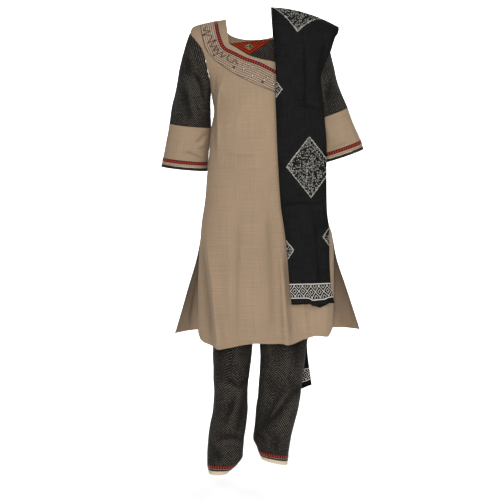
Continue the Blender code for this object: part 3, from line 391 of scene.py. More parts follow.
CUFF_RIGHT_CREASES = [
    Crease([(-162, -350), (-180, -372), (-202, -392)], 5, -2.6, -1),
    Crease([(-160, -366), (-180, -396), (-206, -412)], 6, 2.4, -1),
    Crease([(-162, -400), (-184, -404), (-212, -408)], 4, -2.2, -1),
    Crease([(-176, -436), (-196, -428), (-218, -419), (-240, -420)], 4, -2.8, -1),
    Crease([(-178, -444), (-200, -437), (-226, -430)], 5, 2.0, -1),
    Crease([(-240, -345), (-246, -380), (-262, -430)], 9, 1.4, -1),
    Crease([(-282, -350), (-230, -372), (-170, -380)], 8, -2.2, 1),
    Crease([(-286, -384), (-236, -404), (-176, -410)], 8, 2.2, 1),
]
CUFF_LEFT_CREASES = [
    Crease([(196, -322), (214, -344), (222, -380)], 7, 2.2, -1),
    Crease([(180, -336), (200, -362), (210, -400)], 6, -2.2, -1),
    Crease([(252, -290), (262, -326), (280, -372)], 9, 1.6, -1),
    Crease([(226, -404), (252, -396), (280, -382)], 6, -1.4, -1),
    Crease([(286, -296), (236, -330), (186, -352)], 8, -2.2, 1),
    Crease([(306, -330), (256, -362), (200, -382)], 8, 2.2, 1),
]
LEG_RIGHT_CREASES = [
    Crease([(-74, -880), (-70, -980), (-66, -1056), (-44, -1114)], 8, 3.2, -1),
    Crease([(-100, -1118), (-86, -1132), (-64, -1152)], 5, -5.0, -1),
    Crease([(-64, -1152), (-50, -1138), (-34, -1122)], 5, -4.4, -1),
    Crease([(-112, -1148), (-88, -1144), (-66, -1160)], 5, 3.4, -1),
    Crease([(-58, -1160), (-62, -1186), (-76, -1230), (-98, -1288)], 7, 4.2, -1),
    Crease([(-76, -1180), (-88, -1220), (-110, -1270)], 8, -3.2, -1),
    Crease([(-50, -1190), (-56, -1240), (-70, -1300)], 8, -2.6, -1),
    Crease([(-132, -1334), (-114, -1322), (-96, -1318), (-66, -1328), (-44, -1342)], 5, 4.2, -1),
    Crease([(-132, -1318), (-112, -1306), (-90, -1302), (-62, -1312)], 6, -4.2, -1),
    Crease([(-106, -1336), (-107, -1352), (-108, -1372)], 5, 3.6, -1),
    Crease([(-136, -1344), (-128, -1356), (-120, -1384)], 6, -2.2, -1),
    Crease([(-130, -900), (-126, -1000), (-122, -1090)], 10, -2.4, -1),
    Crease([(-140, -1180), (-136, -1240), (-140, -1300)], 8, 2.2, -1),
    Crease([(-130, -1110), (-96, -1130), (-50, -1126)], 7, -4.0, 1),
    Crease([(-134, -1134), (-94, -1156), (-46, -1150)], 8, 4.4, 1),
    Crease([(-132, -1164), (-92, -1182), (-50, -1180)], 8, -3.4, 1),
    Crease([(-90, -860), (-90, -960), (-94, -1070)], 11, 3.0, 1),
    Crease([(-110, -1220), (-104, -1280), (-110, -1340)], 9, 3.0, 1),
    Crease([(-150, -1336), (-112, -1350), (-70, -1344)], 8, -3.0, 1),
]
LEG_LEFT_CREASES = [
    Crease([(86, -900), (86, -1000), (86, -1062), (86, -1149)], 8, 3.4, -1),
    Crease([(148, -1136), (104, -1172), (50, -1238), (-4, -1292)], 7, -5.0, -1),
    Crease([(74, -1160), (44, -1212), (10, -1276)], 7, -3.6, -1),
    Crease([(94, -1152), (60, -1206), (24, -1264)], 8, 4.2, -1),
    Crease([(122, -1180), (92, -1232), (58, -1290)], 9, 3.2, -1),
    Crease([(28, -1300), (28, -1318), (29, -1340)], 5, 3.8, -1),
    Crease([(52, -1290), (56, -1318), (52, -1350)], 7, -2.6, -1),
    Crease([(-10, -1296), (10, -1308), (20, -1326)], 6, -3.0, -1),
    Crease([(120, -880), (118, -980), (116, -1080)], 10, -2.6, -1),
    Crease([(30, -900), (30, -1000), (34, -1100)], 10, 2.0, -1),
    Crease([(136, -1104), (90, -1124), (20, -1118)], 7, -4.0, 1),
    Crease([(134, -1130), (88, -1150), (16, -1144)], 8, 4.4, 1),
    Crease([(130, -1160), (84, -1178), (16, -1172)], 8, -3.4, 1),
    Crease([(90, -860), (88, -960), (82, -1070)], 11, 3.0, 1),
    Crease([(64, -1210), (56, -1270), (50, -1330)], 9, 3.0, 1),
]
DUPATTA_CREASES = [
    Crease([(102, -286), (130, -282), (160, -286), (188, -292)], 4, -3.0, -1),
    Crease([(92, -300), (130, -296), (170, -302)], 6, 2.0, -1),
    Crease([(90, -262), (120, -266), (150, -262)], 6, -1.4, -1),
    Crease([(66, -588), (100, -582), (140, -580), (190, -581)], 4, -3.2, -1),
    Crease([(64, -600), (110, -595), (190, -594)], 6, 1.8, -1),
    Crease([(96, -60), (92, -160), (88, -260), (92, -420)], 7, 2.0, -1),
    Crease([(140, -30), (138, -110), (140, -220), (138, -400)], 9, -2.0, -1),
    Crease([(176, -60), (168, -130), (166, -230)], 8, 2.2, -1),
    Crease([(206, -70), (190, -130), (182, -200)], 7, -2.0, -1),
    Crease([(112, -640), (124, -740), (136, -860)], 10, 1.6, -1),
    Crease([(170, -620), (176, -740), (188, -870)], 9, -1.8, -1),
    Crease([(80, -60), (84, -220), (80, -420), (76, -700)], 9, 2.6, 1),
    Crease([(118, -80), (116, -260), (112, -520), (100, -820)], 10, -2.8, 1),
    Crease([(154, -90), (146, -260), (140, -520), (128, -860)], 9, 2.6, 1),
    Crease([(60, -300), (110, -312), (170, -304)], 6, -2.0, 1),
    Crease([(56, -640), (100, -650), (160, -642)], 6, -2.2, 1),
    Crease([(60, -900), (70, -1020), (84, -1150)], 9, 2.4, 1),
    Crease([(110, -880), (116, -1000), (130, -1140)], 9, -2.4, 1),
]

# Needlework on the band, each a line or a place over the front.
ZIGZAG_STITCH = [
    Spot(-163, -29), Spot(-173, -40), Spot(-151, -46), Spot(-170, -54), Spot(-145, -63),
    Spot(-160, -84), Spot(-134, -74), Spot(-152, -96), Spot(-129, -94), Spot(-143, -110),
    Spot(-123, -103), Spot(-132, -120), Spot(-112, -115), Spot(-118, -131), Spot(-103, -125),
]
SCROLL_STITCH = [
    Spot(-89, -125), Spot(-95, -127), Spot(-98, -131), Spot(-98, -137), Spot(-94, -143),
    Spot(-87, -148), Spot(-80, -147), Spot(-77, -142), Spot(-72, -141), Spot(-68, -145),
    Spot(-70, -151), Spot(-65, -155),
]
SMALL_SCROLLS = [Spot(-52, -154), Spot(-34, -162), Spot(-4, -172), Spot(14, -182), Spot(34, -192)]
DARK_BEADS = [Spot(-173, -57), Spot(-136, -77), Spot(-138, -122), Spot(-77, -164), Spot(10, -211)]
SMALL_MIRRORS = [
    Spot(-21, -163), Spot(-48, -170), Spot(-21, -190), Spot(15, -205), Spot(26, -198), Spot(43, -218),
]

HEM_WIDTH = 11.0

# A cloth piece, the nodes and slot it stands for, its flat cut, how it is held, and what is sewn on it.
Cut = namedtuple("Cut", "piece nodes slot flat area held rests_on goes_with")

# A printed diamond on the dupatta: its middle across and along the cloth, and its half sizes.
Diamond = namedtuple("Diamond", "across along half_across half_along")

DUPATTA_DIAMONDS = [
    Diamond(-52, 165, 77, 92), Diamond(207, 205, 77, 92), Diamond(101, 420, 77, 95),
    Diamond(-55, 655, 77, 92), Diamond(240, 655, 77, 92), Diamond(60, 920, 77, 92),
    Diamond(-74, 1170, 77, 92), Diamond(204, 1170, 77, 92), Diamond(72, 1406, 77, 92),
    Diamond(-70, 1642, 77, 92), Diamond(208, 1642, 77, 92), Diamond(72, 1878, 77, 92),
]
DUPATTA_CLOTH_WIDTH = 155.0
# The distance between two dots of the dark print along its diagonals, and the patch's small ornament.
DOT_PITCH = 8.0
PATCH_MOTIF = Spot(-30, -98)
PATCH_MOTIF_HALF = Spot(18.18, 11.76)
PATCH_TIP_Z = -124.0
PATCH_SLOPES = (-0.62, 0.72)
PATCH_STRIPE_PITCH = 8.4
STITCH_SLANT = 1.7
BORDER_LOW = 15.0
BORDER_HIGH = 62.0
BORDER_PITCH = 31.0
RUNG_PITCH = 8.2
BEAD_ON_STRIP = Spot(30, -1373)

# Colours of the cloths and threads.
BEIGE = (0.300, 0.214, 0.140)
CREAM = (0.60, 0.50, 0.36)
PRINT_BLACK, PRINT_RUST, PRINT_DOT = (0.0058, 0.0056, 0.0053), (0.0105, 0.0072, 0.0054), (0.118, 0.103, 0.082)
DUPATTA_BLACK, DUPATTA_SLUB = (0.0055, 0.0055, 0.0056), (0.0110, 0.0108, 0.0108)
# The dupatta's painted shade colour for its folds, and the white of its prints.
DUPATTA_PAINTED_SHADE, PRINT_WHITE = (0.0022, 0.0022, 0.0023), (0.74, 0.70, 0.63)
MAROON_DARK, MAROON_RED, MAROON_EDGE = (0.030, 0.0040, 0.0040), (0.42, 0.038, 0.022), (0.085, 0.009, 0.008)
BAND_DARK, BAND_LIGHT, BAND_THREAD = (0.335, 0.25, 0.178), (0.46, 0.35, 0.25), (0.060, 0.030, 0.019)
PATCH_RED, PATCH_ORANGE, PATCH_DARK = (0.30, 0.016, 0.004), (0.47, 0.060, 0.008), (0.055, 0.007, 0.006)
MOTIF_GREEN, MOTIF_CREAM = (0.018, 0.022, 0.010), (0.30, 0.25, 0.16)

# The studio, in metres: a floor that turns up into a wall behind the suit.
FLOOR_Z = -1.515
FLOOR_NEAR_Y, FLOOR_REACH, FLOOR_WIDTH = -7.0, 18.0, 16.0
COVE_Y, COVE_RADIUS = 5.0, 1.2
CAMERA_PLACE, CAMERA_LENS = (-0.02835, -4.0, -0.7245), 91.43
Light = namedtuple("Light", "name place aim size power")
LIGHTS = [
    Light("flash", (-0.1, -3.8, -0.3), (0.0, 0.0, -0.5), 0.5, 72),
    Light("side", (1.6, -2.8, 1.3), (0.0, 0.0, -0.2), 0.8, 28),
    Light("backdrop", (0.0, 3.6, 3.0), (0.0, 6.0, -0.9), 3.0, 420),
]
SKY_STRENGTH = 0.45


def smooth_read(rows, key, column, at):
    """A column of a table between its rows, on a curve that doesn't overshoot them."""
    points = np.array(sorted((getattr(row, key), getattr(row, column)) for row in rows), float)
    knots, values = points[:, 0], points[:, 1]
    slope = np.diff(values) / np.diff(knots)
    before = np.concatenate([slope[:1], slope])
    after = np.concatenate([slope, slope[-1:]])
    same_way = before * after > 0
    bend = np.where(same_way, 2 * before * after / np.where(same_way, before + after, 1), 0.0)
    at = np.clip(np.asarray(at, float), knots[0], knots[-1])
    i = np.clip(np.searchsorted(knots, at, side="right") - 1, 0, len(knots) - 2)
    span = knots[i + 1] - knots[i]
    t = (at - knots[i]) / span
    return (
        values[i] * (1 + 2 * t) * (1 - t) ** 2
        + span * bend[i] * t * (1 - t) ** 2
        + values[i + 1] * t * t * (3 - 2 * t)
        - span * bend[i + 1] * t * t * (1 - t)
    )


def mix(a, b, share):
    """From a to b by a share."""
    return a + (b - a) * share


def ease(share):
    """Smoothly from 0 to 1."""
    share = np.clip(share, 0.0, 1.0)
    return share * share * (3 - 2 * share)


def soft_noise(x, z, size, seed):
    """Smooth unevenness from -1 to 1 over the cloth, with bumps of about that size."""
    table = np.random.default_rng(seed).uniform(-1, 1, (64, 64))
    u, v = np.asarray(x) / size + 1000, np.asarray(z) / size + 1000
    i, j = np.floor(u).astype(int), np.floor(v).astype(int)
    s, t = ease(u - i), ease(v - j)
    low = mix(table[i % 64, j % 64], table[(i + 1) % 64, j % 64], s)
    high = mix(table[i % 64, (j + 1) % 64], table[(i + 1) % 64, (j + 1) % 64], s)
    return mix(low, high, t)


def crease_height(creases, face, x, z):
    """How far the creases of one face push the cloth out at x and z."""
    x, z = np.broadcast_arrays(np.asarray(x, float), np.asarray(z, float))
    height = np.zeros(x.shape)
    for crease in creases:
        if crease.face * face < 0:
            continue
        spots = np.array(crease.line, float)
        lengths = np.hypot(*np.diff(spots, axis=0).T)
        total, run = lengths.sum(), 0.0
        best = np.full(x.shape, 1e9)
        place = np.zeros(x.shape)
        for a, b, length in zip(spots, spots[1:], lengths):
            step = (b - a) / length
            t = np.clip((x - a[0]) * step[0] + (z - a[1]) * step[1], 0, length)
            far = np.hypot(x - a[0] - step[0] * t, z - a[1] - step[1] * t)
            nearer = far < best
            best = np.where(nearer, far, best)
            place = np.where(nearer, (run + t) / total, place)
            run += length
        fade = 0.15 + 0.85 * ease(place / 0.3) * ease((1 - place) / 0.3)
        away = np.sqrt((best / crease.spread) ** 2 + CREST**2) - CREST
        height += 1.4 * crease.height * fade * np.exp(-1.5 * away)
    return height


def shoulder_line(x):
    """Height of the shoulder seams over x, and of a straight line between them over the neck."""
    x = np.asarray(x, float)
    share = np.clip((x - NECK_RIGHT_SIDE.x) / (TIP_RIGHT_SIDE.x - NECK_RIGHT_SIDE.x), 0, 1)
    right = mix(NECK_RIGHT_SIDE.z, TIP_RIGHT_SIDE.z, share)
    right = right + SHOULDER_RISE * share * np.sqrt(1 - share**12)
    left = mix(NECK_LEFT_SIDE.z, TIP_LEFT_SIDE.z,
               (x - NECK_LEFT_SIDE.x) / (TIP_LEFT_SIDE.x - NECK_LEFT_SIDE.x))
    neck = mix(NECK_RIGHT_SIDE.z, NECK_LEFT_SIDE.z,
               (x - NECK_RIGHT_SIDE.x) / (NECK_LEFT_SIDE.x - NECK_RIGHT_SIDE.x))
    return np.where(x <= NECK_RIGHT_SIDE.x, right, np.where(x >= NECK_LEFT_SIDE.x, left, neck))


def fold_depth(folds, x, z, hem_z):
    """How far the folds push the cloth outward at x and z."""
    depth = np.zeros(np.broadcast(x, z).shape)
    for fold in folds:
        down = np.clip((fold.top_z - z) / (fold.top_z - hem_z), 0, 1)
        middle = mix(fold.top_x, fold.hem_x, down)
        width = fold.half_width * (0.55 + 0.45 * down)
        depth += fold.height * ease(down) * np.exp(-(((x - middle) / width) ** 2))
    return depth


def panel_edges(levels, z):
    """The two side edges of a body panel at a height."""
    return smooth_read(levels, "z", "left", z), smooth_read(levels, "z", "right", z)


def panel_y(levels, folds, x, z):
    """Depth of a body panel at x and z: a squarish section, rounded over the shoulder."""
    left, right = panel_edges(levels, z)
    share = np.clip((x - left) / (right - left), 0, 1)
    turn = smooth_read(levels, "z", "turn", z)
    bulge = np.maximum(0.0, 1 - np.abs(2 * share - 1) ** SECTION_POWER) ** (1 / turn)
    edge = mix(smooth_read(levels, "z", "left_y", z), smooth_read(levels, "z", "right_y", z), share)
    y = mix(edge, smooth_read(levels, "z", "mid", z), bulge)
    side = -1 if levels is FRONT_LEVELS else 1
    y = y + side * fold_depth(folds, x, z, -1000.0)
    below = np.clip((shoulder_line(x) - z) / SHOULDER_ROUND, 0, 1)
    return y * np.sqrt(1 - (1 - below) ** 2) + side * SHOULDER_SEAM_HALF


def panel_point(levels, folds, creases, x, z, out):
    """Points of a body panel with its creases, moved out from the cloth by out."""
    x, z = np.broadcast_arrays(np.asarray(x, float), np.asarray(z, float))
    side = -1 if levels is FRONT_LEVELS else 1
    step = 1.5
    left, right = panel_edges(levels, z)
    x_low, x_high = np.maximum(left, x - step), np.minimum(right, x + step)
    z_high = np.minimum(shoulder_line(x), z + step)
    z_low = z_high - 2 * step
    y_across = panel_y(levels, folds, x_high, z) - panel_y(levels, folds, x_low, z)
    y_up = panel_y(levels, folds, x, z_high) - panel_y(levels, folds, x, z_low)
    zero = np.zeros(x.shape)
    across = np.stack([x_high - x_low, y_across, zero], -1)
    up = np.stack([zero, y_up, z_high - z_low], -1)
    normal = np.cross(across, up) * -side
    normal /= np.linalg.norm(normal, axis=-1, keepdims=True)
    free = ease((shoulder_line(x) - z) / 30) * ease(np.minimum(x - left, right - x) / 9)
    low = ease((-560 - z) / 300)
    push = free * crease_height(creases, side, x, z)
    push = push + free * (0.5 + 0.8 * low) * soft_noise(x, z * 0.4, 46, 3 + side)
    push = push + free * 0.22 * soft_noise(x, z * 0.6, 15, 7 + side)
    here = np.stack([x, panel_y(levels, folds, x, z), z], -1)
    return here + normal * (push + out)[..., None]


def front_point(x, z, out=0.0):
    """Points of the kameez front, moved out from the cloth."""
    return panel_point(FRONT_LEVELS, FRONT_FOLDS, KAMEEZ_FRONT_CREASES, x, z, out)


def back_point(x, z, out=0.0):
    """Points of the kameez back, moved out from the cloth."""
    return panel_point(BACK_LEVELS, BACK_FOLDS, KAMEEZ_BACK_CREASES, x, z, out)


def column_x(levels, share, z):
    """X at a share of a panel's width, closer together near its edges."""
    left, right = panel_edges(levels, z)
    return mix(left, right, (1 - np.cos(np.pi * share)) / 2)


def column_share(levels, x, z):
    """The share of a panel's width at x."""
    left, right = panel_edges(levels, z)
    return float(np.arccos(1 - 2 * (x - left) / (right - left)) / np.pi)


def line_z(spots, x):
    """Height of a drawn line at x."""
    return smooth_read(spots, "x", "z", x)


def add_piece(name, bm, finish, wall, offset=-1.0):
    """Makes the piece's object from its sheet, with its wall and its material."""
    mesh = bpy.data.meshes.new(name)
    bm.to_mesh(mesh)
    bm.free()
    mesh.materials.append(finish)
    for face in mesh.polygons:
        face.use_smooth = True
    piece = bpy.data.objects.new(name, mesh)
    bpy.context.scene.collection.objects.link(piece)
    if wall:
        thick = piece.modifiers.new("wall", "SOLIDIFY")
        thick.thickness = wall * MM
        thick.offset = offset
        thick.use_even_offset = False
    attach(piece, "root")
    return piece


def cloth(name, points, finish, wall, keep=None, outward=True, closed=False, offset=-1.0, grain=None,
          lift=None):
    """A sheet of cloth through rows of points, with its grain in a UV map of metres and its creases' lift."""
    down, across = points.shape[0] - 1, points.shape[1] - 1
    bm = bmesh.new()
    bmesh.ops.create_grid(bm, x_segments=across, y_segments=down, size=0.5)
    lifts = bm.verts.layers.float.new("lift")
    cell = {}
    for vert in bm.verts:
        cell[vert] = (round((vert.co.x + 0.5) * across), round((0.5 - vert.co.y) * down))
    if keep is not None:
        dropped = []
        for face in bm.faces:
            i = min(cell[vert][0] for vert in face.verts)
            j = min(cell[vert][1] for vert in face.verts)
            if not keep(i, j):
                dropped.append(face)
        bmesh.ops.delete(bm, geom=dropped, context="FACES")
    if grain is None:
        grain = grain_of(points)
    layer = bm.loops.layers.uv.new("Cloth")
    for face in bm.faces:
        for loop in face.loops:
            i, j = cell[loop.vert]
            loop[layer].uv = grain[j, i]
    for vert in bm.verts:
        i, j = cell[vert]
        vert.co = points[j, i] * MM
        if lift is not None:
            vert[lifts] = lift[j, i]
    if closed:
        bmesh.ops.remove_doubles(bm, verts=bm.verts, dist=0.00001)
    if not outward:
        bmesh.ops.reverse_faces(bm, faces=bm.faces)
    return add_piece(name + "_cloth", bm, finish, wall, offset)


def grain_of(points, middle=0.5):
    """Where each point lies on the flat cloth: across from its middle column and down from its top."""
    steps = np.linalg.norm(np.diff(points, axis=1), axis=2)
    across = np.concatenate([np.zeros((len(points), 1)), np.cumsum(steps, axis=1)], axis=1)
    across -= across[:, [int(middle * (points.shape[1] - 1))]]
    steps = np.linalg.norm(np.diff(points, axis=0), axis=2)
    down = np.concatenate([np.zeros((1, points.shape[1])), np.cumsum(steps, axis=0)], axis=0)
    down -= down[-1:]
    return np.stack([across, down], -1) * MM


def thread(name, lines, radius, finish, closed=False):
    """Threads or cords that lie along lines of points."""
    curve = bpy.data.curves.new(name, "CURVE")
    curve.dimensions = "3D"
    curve.bevel_depth = radius * MM
    curve.bevel_resolution = 1
    curve.use_fill_caps = True
    for line in lines:
        spline = curve.splines.new("POLY")
        spline.points.add(len(line) - 1)
        for point, place in zip(spline.points, line):
            point.co = (*(place * MM), 1.0)
        spline.use_cyclic_u = closed
    maker = bpy.data.objects.new(name, curve)
    bpy.context.scene.collection.objects.link(maker)
    graph = bpy.context.evaluated_depsgraph_get()
    mesh = bpy.data.meshes.new_from_object(maker.evaluated_get(graph))
    bpy.data.objects.remove(maker)
    bpy.data.curves.remove(curve)
    bm = bmesh.new()
    bm.from_mesh(mesh)
    bmesh.ops.remove_doubles(bm, verts=bm.verts, dist=0.000001)
    bmesh.ops.recalc_face_normals(bm, faces=bm.faces)
    bpy.data.meshes.remove(mesh)
    return add_piece(name, bm, finish, 0)


def spread(count):
    """Even steps from 0 to 1."""
    return np.linspace(0.0, 1.0, count + 1)


def make_kameez_front(finish):
    """The front: its right shoulder strap, and the panel below the crossed edge."""
    strap, rest, top_rows, rows = 46, 112, 30, 216
    corner = OVERLAP_EDGE[0]
    corner_share = column_share(FRONT_LEVELS, corner.x, corner.z)
    shares = np.concatenate([spread(strap)[:-1] * corner_share, mix(corner_share, 1.0, spread(rest))])
    z_split = np.full(shares.shape, -150.0)
    for _ in range(20):
        x = column_x(FRONT_LEVELS, shares, z_split)
        z_split = np.where(x < corner.x, corner.z - 0.12 * (corner.x - x), line_z(OVERLAP_EDGE, x))
    x_split = column_x(FRONT_LEVELS, shares, z_split)
    hem = smooth_read(FRONT_HEM, "across", "z", (1 - np.cos(np.pi * shares)) / 2)
    down = spread(rows)[:, None]
    z = mix(z_split, hem, down)
    x = column_x(FRONT_LEVELS, shares, z)
    edge_x = panel_edges(FRONT_LEVELS, z_split)[0]
    part = np.clip((x_split - edge_x) / (corner.x - edge_x), 0, 1)
    strap_down = spread(top_rows)[:-1, None]
    x_top = mix(TIP_RIGHT_SIDE.x, NECK_RIGHT_SIDE.x, part)
    z_strap = mix(shoulder_line(x_top), z_split, strap_down**2 * (1.6 - 0.6 * strap_down))
    neck_x = mix(NECK_RIGHT_SIDE.x, corner.x,
                 (NECK_RIGHT_SIDE.z - z_strap) / (NECK_RIGHT_SIDE.z - corner.z))
    x_strap = mix(panel_edges(FRONT_LEVELS, z_strap)[0], neck_x, part)
    x, z = np.vstack([x_strap, x]), np.vstack([z_strap, z])
    points = front_point(x, z)
    points[:, :, 2] += hem_wave(points, FRONT_HEM, 11)
    return cloth("kameez_front", points, finish, SHOWN_WALL,
                 lambda i, j: j >= top_rows or i < strap, grain=panel_grain(x, z, points),
                 lift=crease_height(KAMEEZ_FRONT_CREASES, -1, x, z))


def hem_wave(points, hem, seed):
    """A little unevenness of the lower edge, which fades out above it."""
    lowest = min(row.z for row in hem)
    near = ease((lowest + 60 - points[:, :, 2]) / 60)
    return near * 1.6 * soft_noise(points[:, :, 0], 0, 34, seed)


def panel_grain(x, z, points):
    """The grain of a body panel runs straight down from the shoulder."""
    grain = grain_of(points, 0.5)
    grain[:, :, 1] = z * MM
    middle = np.argmin(np.abs(x - 20), axis=1)
    rows = np.arange(len(x))
    grain[:, :, 0] -= grain[rows, middle, 0][:, None]
    return grain


def yoke_top(x):
    """Height of the yoke's upper edge."""
    return np.where(x < NECK_LEFT_SIDE.x, mix(-87, -70, (x + 96) / 176), -70 - 0.2 * (x - NECK_LEFT_SIDE.x))


def yoke_bottom(x):
    """Height of the yoke's lower edge, under the crossed edge of the front."""
    return line_z(OVERLAP_EDGE, np.maximum(x, OVERLAP_EDGE[0].x)) - YOKE_UNDERLAP


def make_kameez_yoke(finish):
    """The dark yoke inside the neck, with the left front shoulder."""
    strap, rest, top_rows, rows = 26, 34, 24, 18
    part = np.concatenate([np.zeros(rest), spread(strap)])
    low_x = np.concatenate([mix(YOKE_LEFT_X, NECK_LEFT_SIDE.x, spread(rest)[:-1]), np.zeros(strap + 1)])
    in_strap = np.arange(rest + strap + 1) >= rest
    down = spread(rows)[:, None]
    z = np.full((rows + 1, rest + strap + 1), -85.0)
    for _ in range(12):
        x = np.where(in_strap, mix(NECK_LEFT_SIDE.x, panel_edges(FRONT_LEVELS, z)[1], part), low_x)
        z = mix(yoke_top(x), yoke_bottom(x), down)
    x_top = mix(NECK_LEFT_SIDE.x, TIP_LEFT_SIDE.x, part)
    strap_down = spread(top_rows)[:-1, None]
    z_strap = mix(shoulder_line(x_top), z[0], strap_down**2 * (1.6 - 0.6 * strap_down))
    x_strap = mix(NECK_LEFT_SIDE.x, panel_edges(FRONT_LEVELS, z_strap)[1], part)
    x, z = np.vstack([x_strap, x]), np.vstack([z_strap, z])
    points = front_point(x, z, -(SHOWN_WALL + SHOWN_EASE))
    return cloth("kameez_yoke", points, finish, SHOWN_WALL,
                 lambda i, j: j >= top_rows or i >= rest, grain=panel_grain(x, z, points))


def back_top(x):
    """Height of the back neck edge, carried on below the straps."""
    middle = (NECK_RIGHT_SIDE.x + NECK_LEFT_SIDE.x) / 2
    share = np.clip((x - middle) / ((NECK_LEFT_SIDE.x - NECK_RIGHT_SIDE.x) / 2), -1, 1)
    return shoulder_line(x) - BACK_STRAP_DROP - BACK_NECK_DROP * np.sqrt(1 - share * share)


def make_kameez_back(finish):
    """The back, from its neck edge and straps to its hem."""
    strap, neck, top_rows, rows = 36, 66, 12, 190
    left_corner = column_share(BACK_LEVELS, NECK_RIGHT_SIDE.x, back_top(NECK_RIGHT_SIDE.x))
    right_corner = column_share(BACK_LEVELS, NECK_LEFT_SIDE.x, back_top(NECK_LEFT_SIDE.x))
    shares = np.concatenate([
        spread(strap)[:-1] * left_corner,
        mix(left_corner, right_corner, spread(neck))[:-1],
        mix(right_corner, 1.0, spread(strap)),
    ])
    z_split = np.full(shares.shape, -BACK_STRAP_DROP)
    for _ in range(20):
        z_split = back_top(column_x(BACK_LEVELS, shares, z_split))
    x_split = column_x(BACK_LEVELS, shares, z_split)
    z_strap = mix(shoulder_line(x_split), z_split, (spread(top_rows)[:-1, None]) ** 2)
    hem = smooth_read(BACK_HEM, "across", "z", (1 - np.cos(np.pi * shares)) / 2)
    z = mix(z_split, hem, spread(rows)[:, None] ** 1.12)
    x = column_x(BACK_LEVELS, shares, z)
    x, z = np.vstack([np.broadcast_to(x_split, z_strap.shape), x]), np.vstack([z_strap, z])
    points = back_point(x, z)
    points[:, :, 2] += hem_wave(points, BACK_HEM, 12)
    return cloth("kameez_back", points, finish, SHOWN_WALL,
                 lambda i, j: j >= top_rows or i < strap or i >= strap + neck,
                 outward=False, grain=panel_grain(x, z, points),
                 lift=crease_height(KAMEEZ_BACK_CREASES, 1, x, z))


def along(spots, share):
    """Points part of the way along a drawn line, by its length."""
    lengths = [0.0]
    for a, b in zip(spots, spots[1:]):
        lengths.append(lengths[-1] + math.hypot(b.x - a.x, b.z - a.z))
    knots = [Knot(length, spot.x, spot.z) for length, spot in zip(lengths, spots)]
    at = np.asarray(share) * lengths[-1]
    return smooth_read(knots, "at", "x", at), smooth_read(knots, "at", "z", at)


def beside(spots, share, away):
    """Points beside a drawn line, away to its upper side."""
    x, z = along(spots, share)
    x_before, z_before = along(spots, np.maximum(0.0, share - 0.01))
    x_after, z_after = along(spots, np.minimum(1.0, share + 0.01))
    size = np.hypot(x_after - x_before, z_after - z_before)
    return x - away * (z_after - z_before) / size, z + away * (x_after - x_before) / size


def inside_front(x, z):
    """Keeps a trim's place inside the front's own edges."""
    left, right = panel_edges(FRONT_LEVELS, z)
    x = np.clip(x, left + 1.5, right - 1.5)
    return x, np.minimum(z, shoulder_line(x) - 1.0)


TRIM_OUT = SHOWN_EASE + SHOWN_TRIM


def make_neck_ribbon(finish):
    """The ribbon along the neck and the crossed edge, and the lines of its two edges."""
    share = spread(190)[None, :] ** 1.1
    across = spread(6)[:, None]
    x, z = inside_front(*beside(RIBBON_LINE, share, RIBBON_WIDTH * (0.5 - across)))
    points = front_point(x, z, TRIM_OUT)
    piece = cloth("neck_ribbon", points, finish, SHOWN_TRIM, grain=strip_grain(points))
    edges = [front_point(*inside_front(*beside(RIBBON_LINE, share[0], away)), TRIM_OUT + 0.2)
             for away in (RIBBON_WIDTH / 2 + 0.5, -RIBBON_WIDTH / 2 - 0.5)]
    return piece, edges


def strip_grain(points):
    """The grain of a ribbon: along it from its start, and across it from its upper edge."""
    grain = grain_of(points, 0.0)
    middle = grain[len(points) // 2, :, 0]
    width = np.linalg.norm(points[0] - points[-1], axis=-1) * MM
    share = spread(len(points) - 1)
    return np.stack([np.broadcast_to(middle, grain.shape[:2]), share[:, None] * width], -1)


def band_spot(share, across):
    x_up, z_up = beside(RIBBON_LINE, share, -RIBBON_WIDTH / 2 - 2 * SEAM_GAP)
    x_low, z_low = along(BAND_LOWER_LINE, share)
    return inside_front(mix(x_up, x_low, across), mix(z_up, z_low, across))


def make_embroidered_band(finish):
    """The stitched band below the ribbon."""
    share, across = spread(150)[None, :] ** 1.1, spread(22)[:, None]
    x, z = band_spot(share, across)
    points = front_point(x, z, TRIM_OUT)
    return cloth("embroidered_band", points, finish, SHOWN_TRIM, grain=strip_grain(points))


def patch_bottom(x, top):
    """Height of the patch's two lower edges, which meet at its tip."""
    low = line_z(OVERLAP_EDGE, np.minimum(x, PATCH_TIP_X)) + PATCH_MARGIN
    share = np.clip((x - PATCH_TIP_X) / (PATCH_RIGHT_X - PATCH_TIP_X), 0, 1)
    return np.minimum(mix(low, top - 2.0, share), top - 2.0)


PATCH_OUT = SHOWN_TRIM + 0.25 - SHOWN_WALL - SHOWN_EASE


def make_yoke_patch(finish):
    """The three-cornered patch on the yoke."""
    x = mix(PATCH_LEFT_X, PATCH_RIGHT_X, spread(60))[None, :]
    top = yoke_top(x) - PATCH_MARGIN
    z = mix(top, patch_bottom(x, top), spread(16)[:, None])
    points = front_point(x, z, PATCH_OUT)
    grain = np.stack([np.broadcast_to(x, z.shape) * MM, z * MM], -1)
    return cloth("yoke_patch", points, finish, SHOWN_TRIM, grain=grain)


def on_front(spots, out, steps=6):
    """A line of points over the front through the given spots."""
    share = spread(steps * (len(spots) - 1))
    x, z = along(spots, share)
    return front_point(x, z, out)


def spiral(spot, radius, turns, out, tail):
    """A small sewn scroll around a spot, with a tail."""
    angle = spread(26) * turns * 2 * math.pi
    size = radius * (1 - 0.8 * spread(26))
    x = spot.x + size * np.cos(angle)
    z = spot.z + size * np.sin(angle)
    x = np.concatenate([spot.x + radius + tail * np.array([2.2, 1.2]), x])
    z = np.concatenate([spot.z + tail * np.array([-1.4, -1.1]), z])
    return front_point(x, z, out)


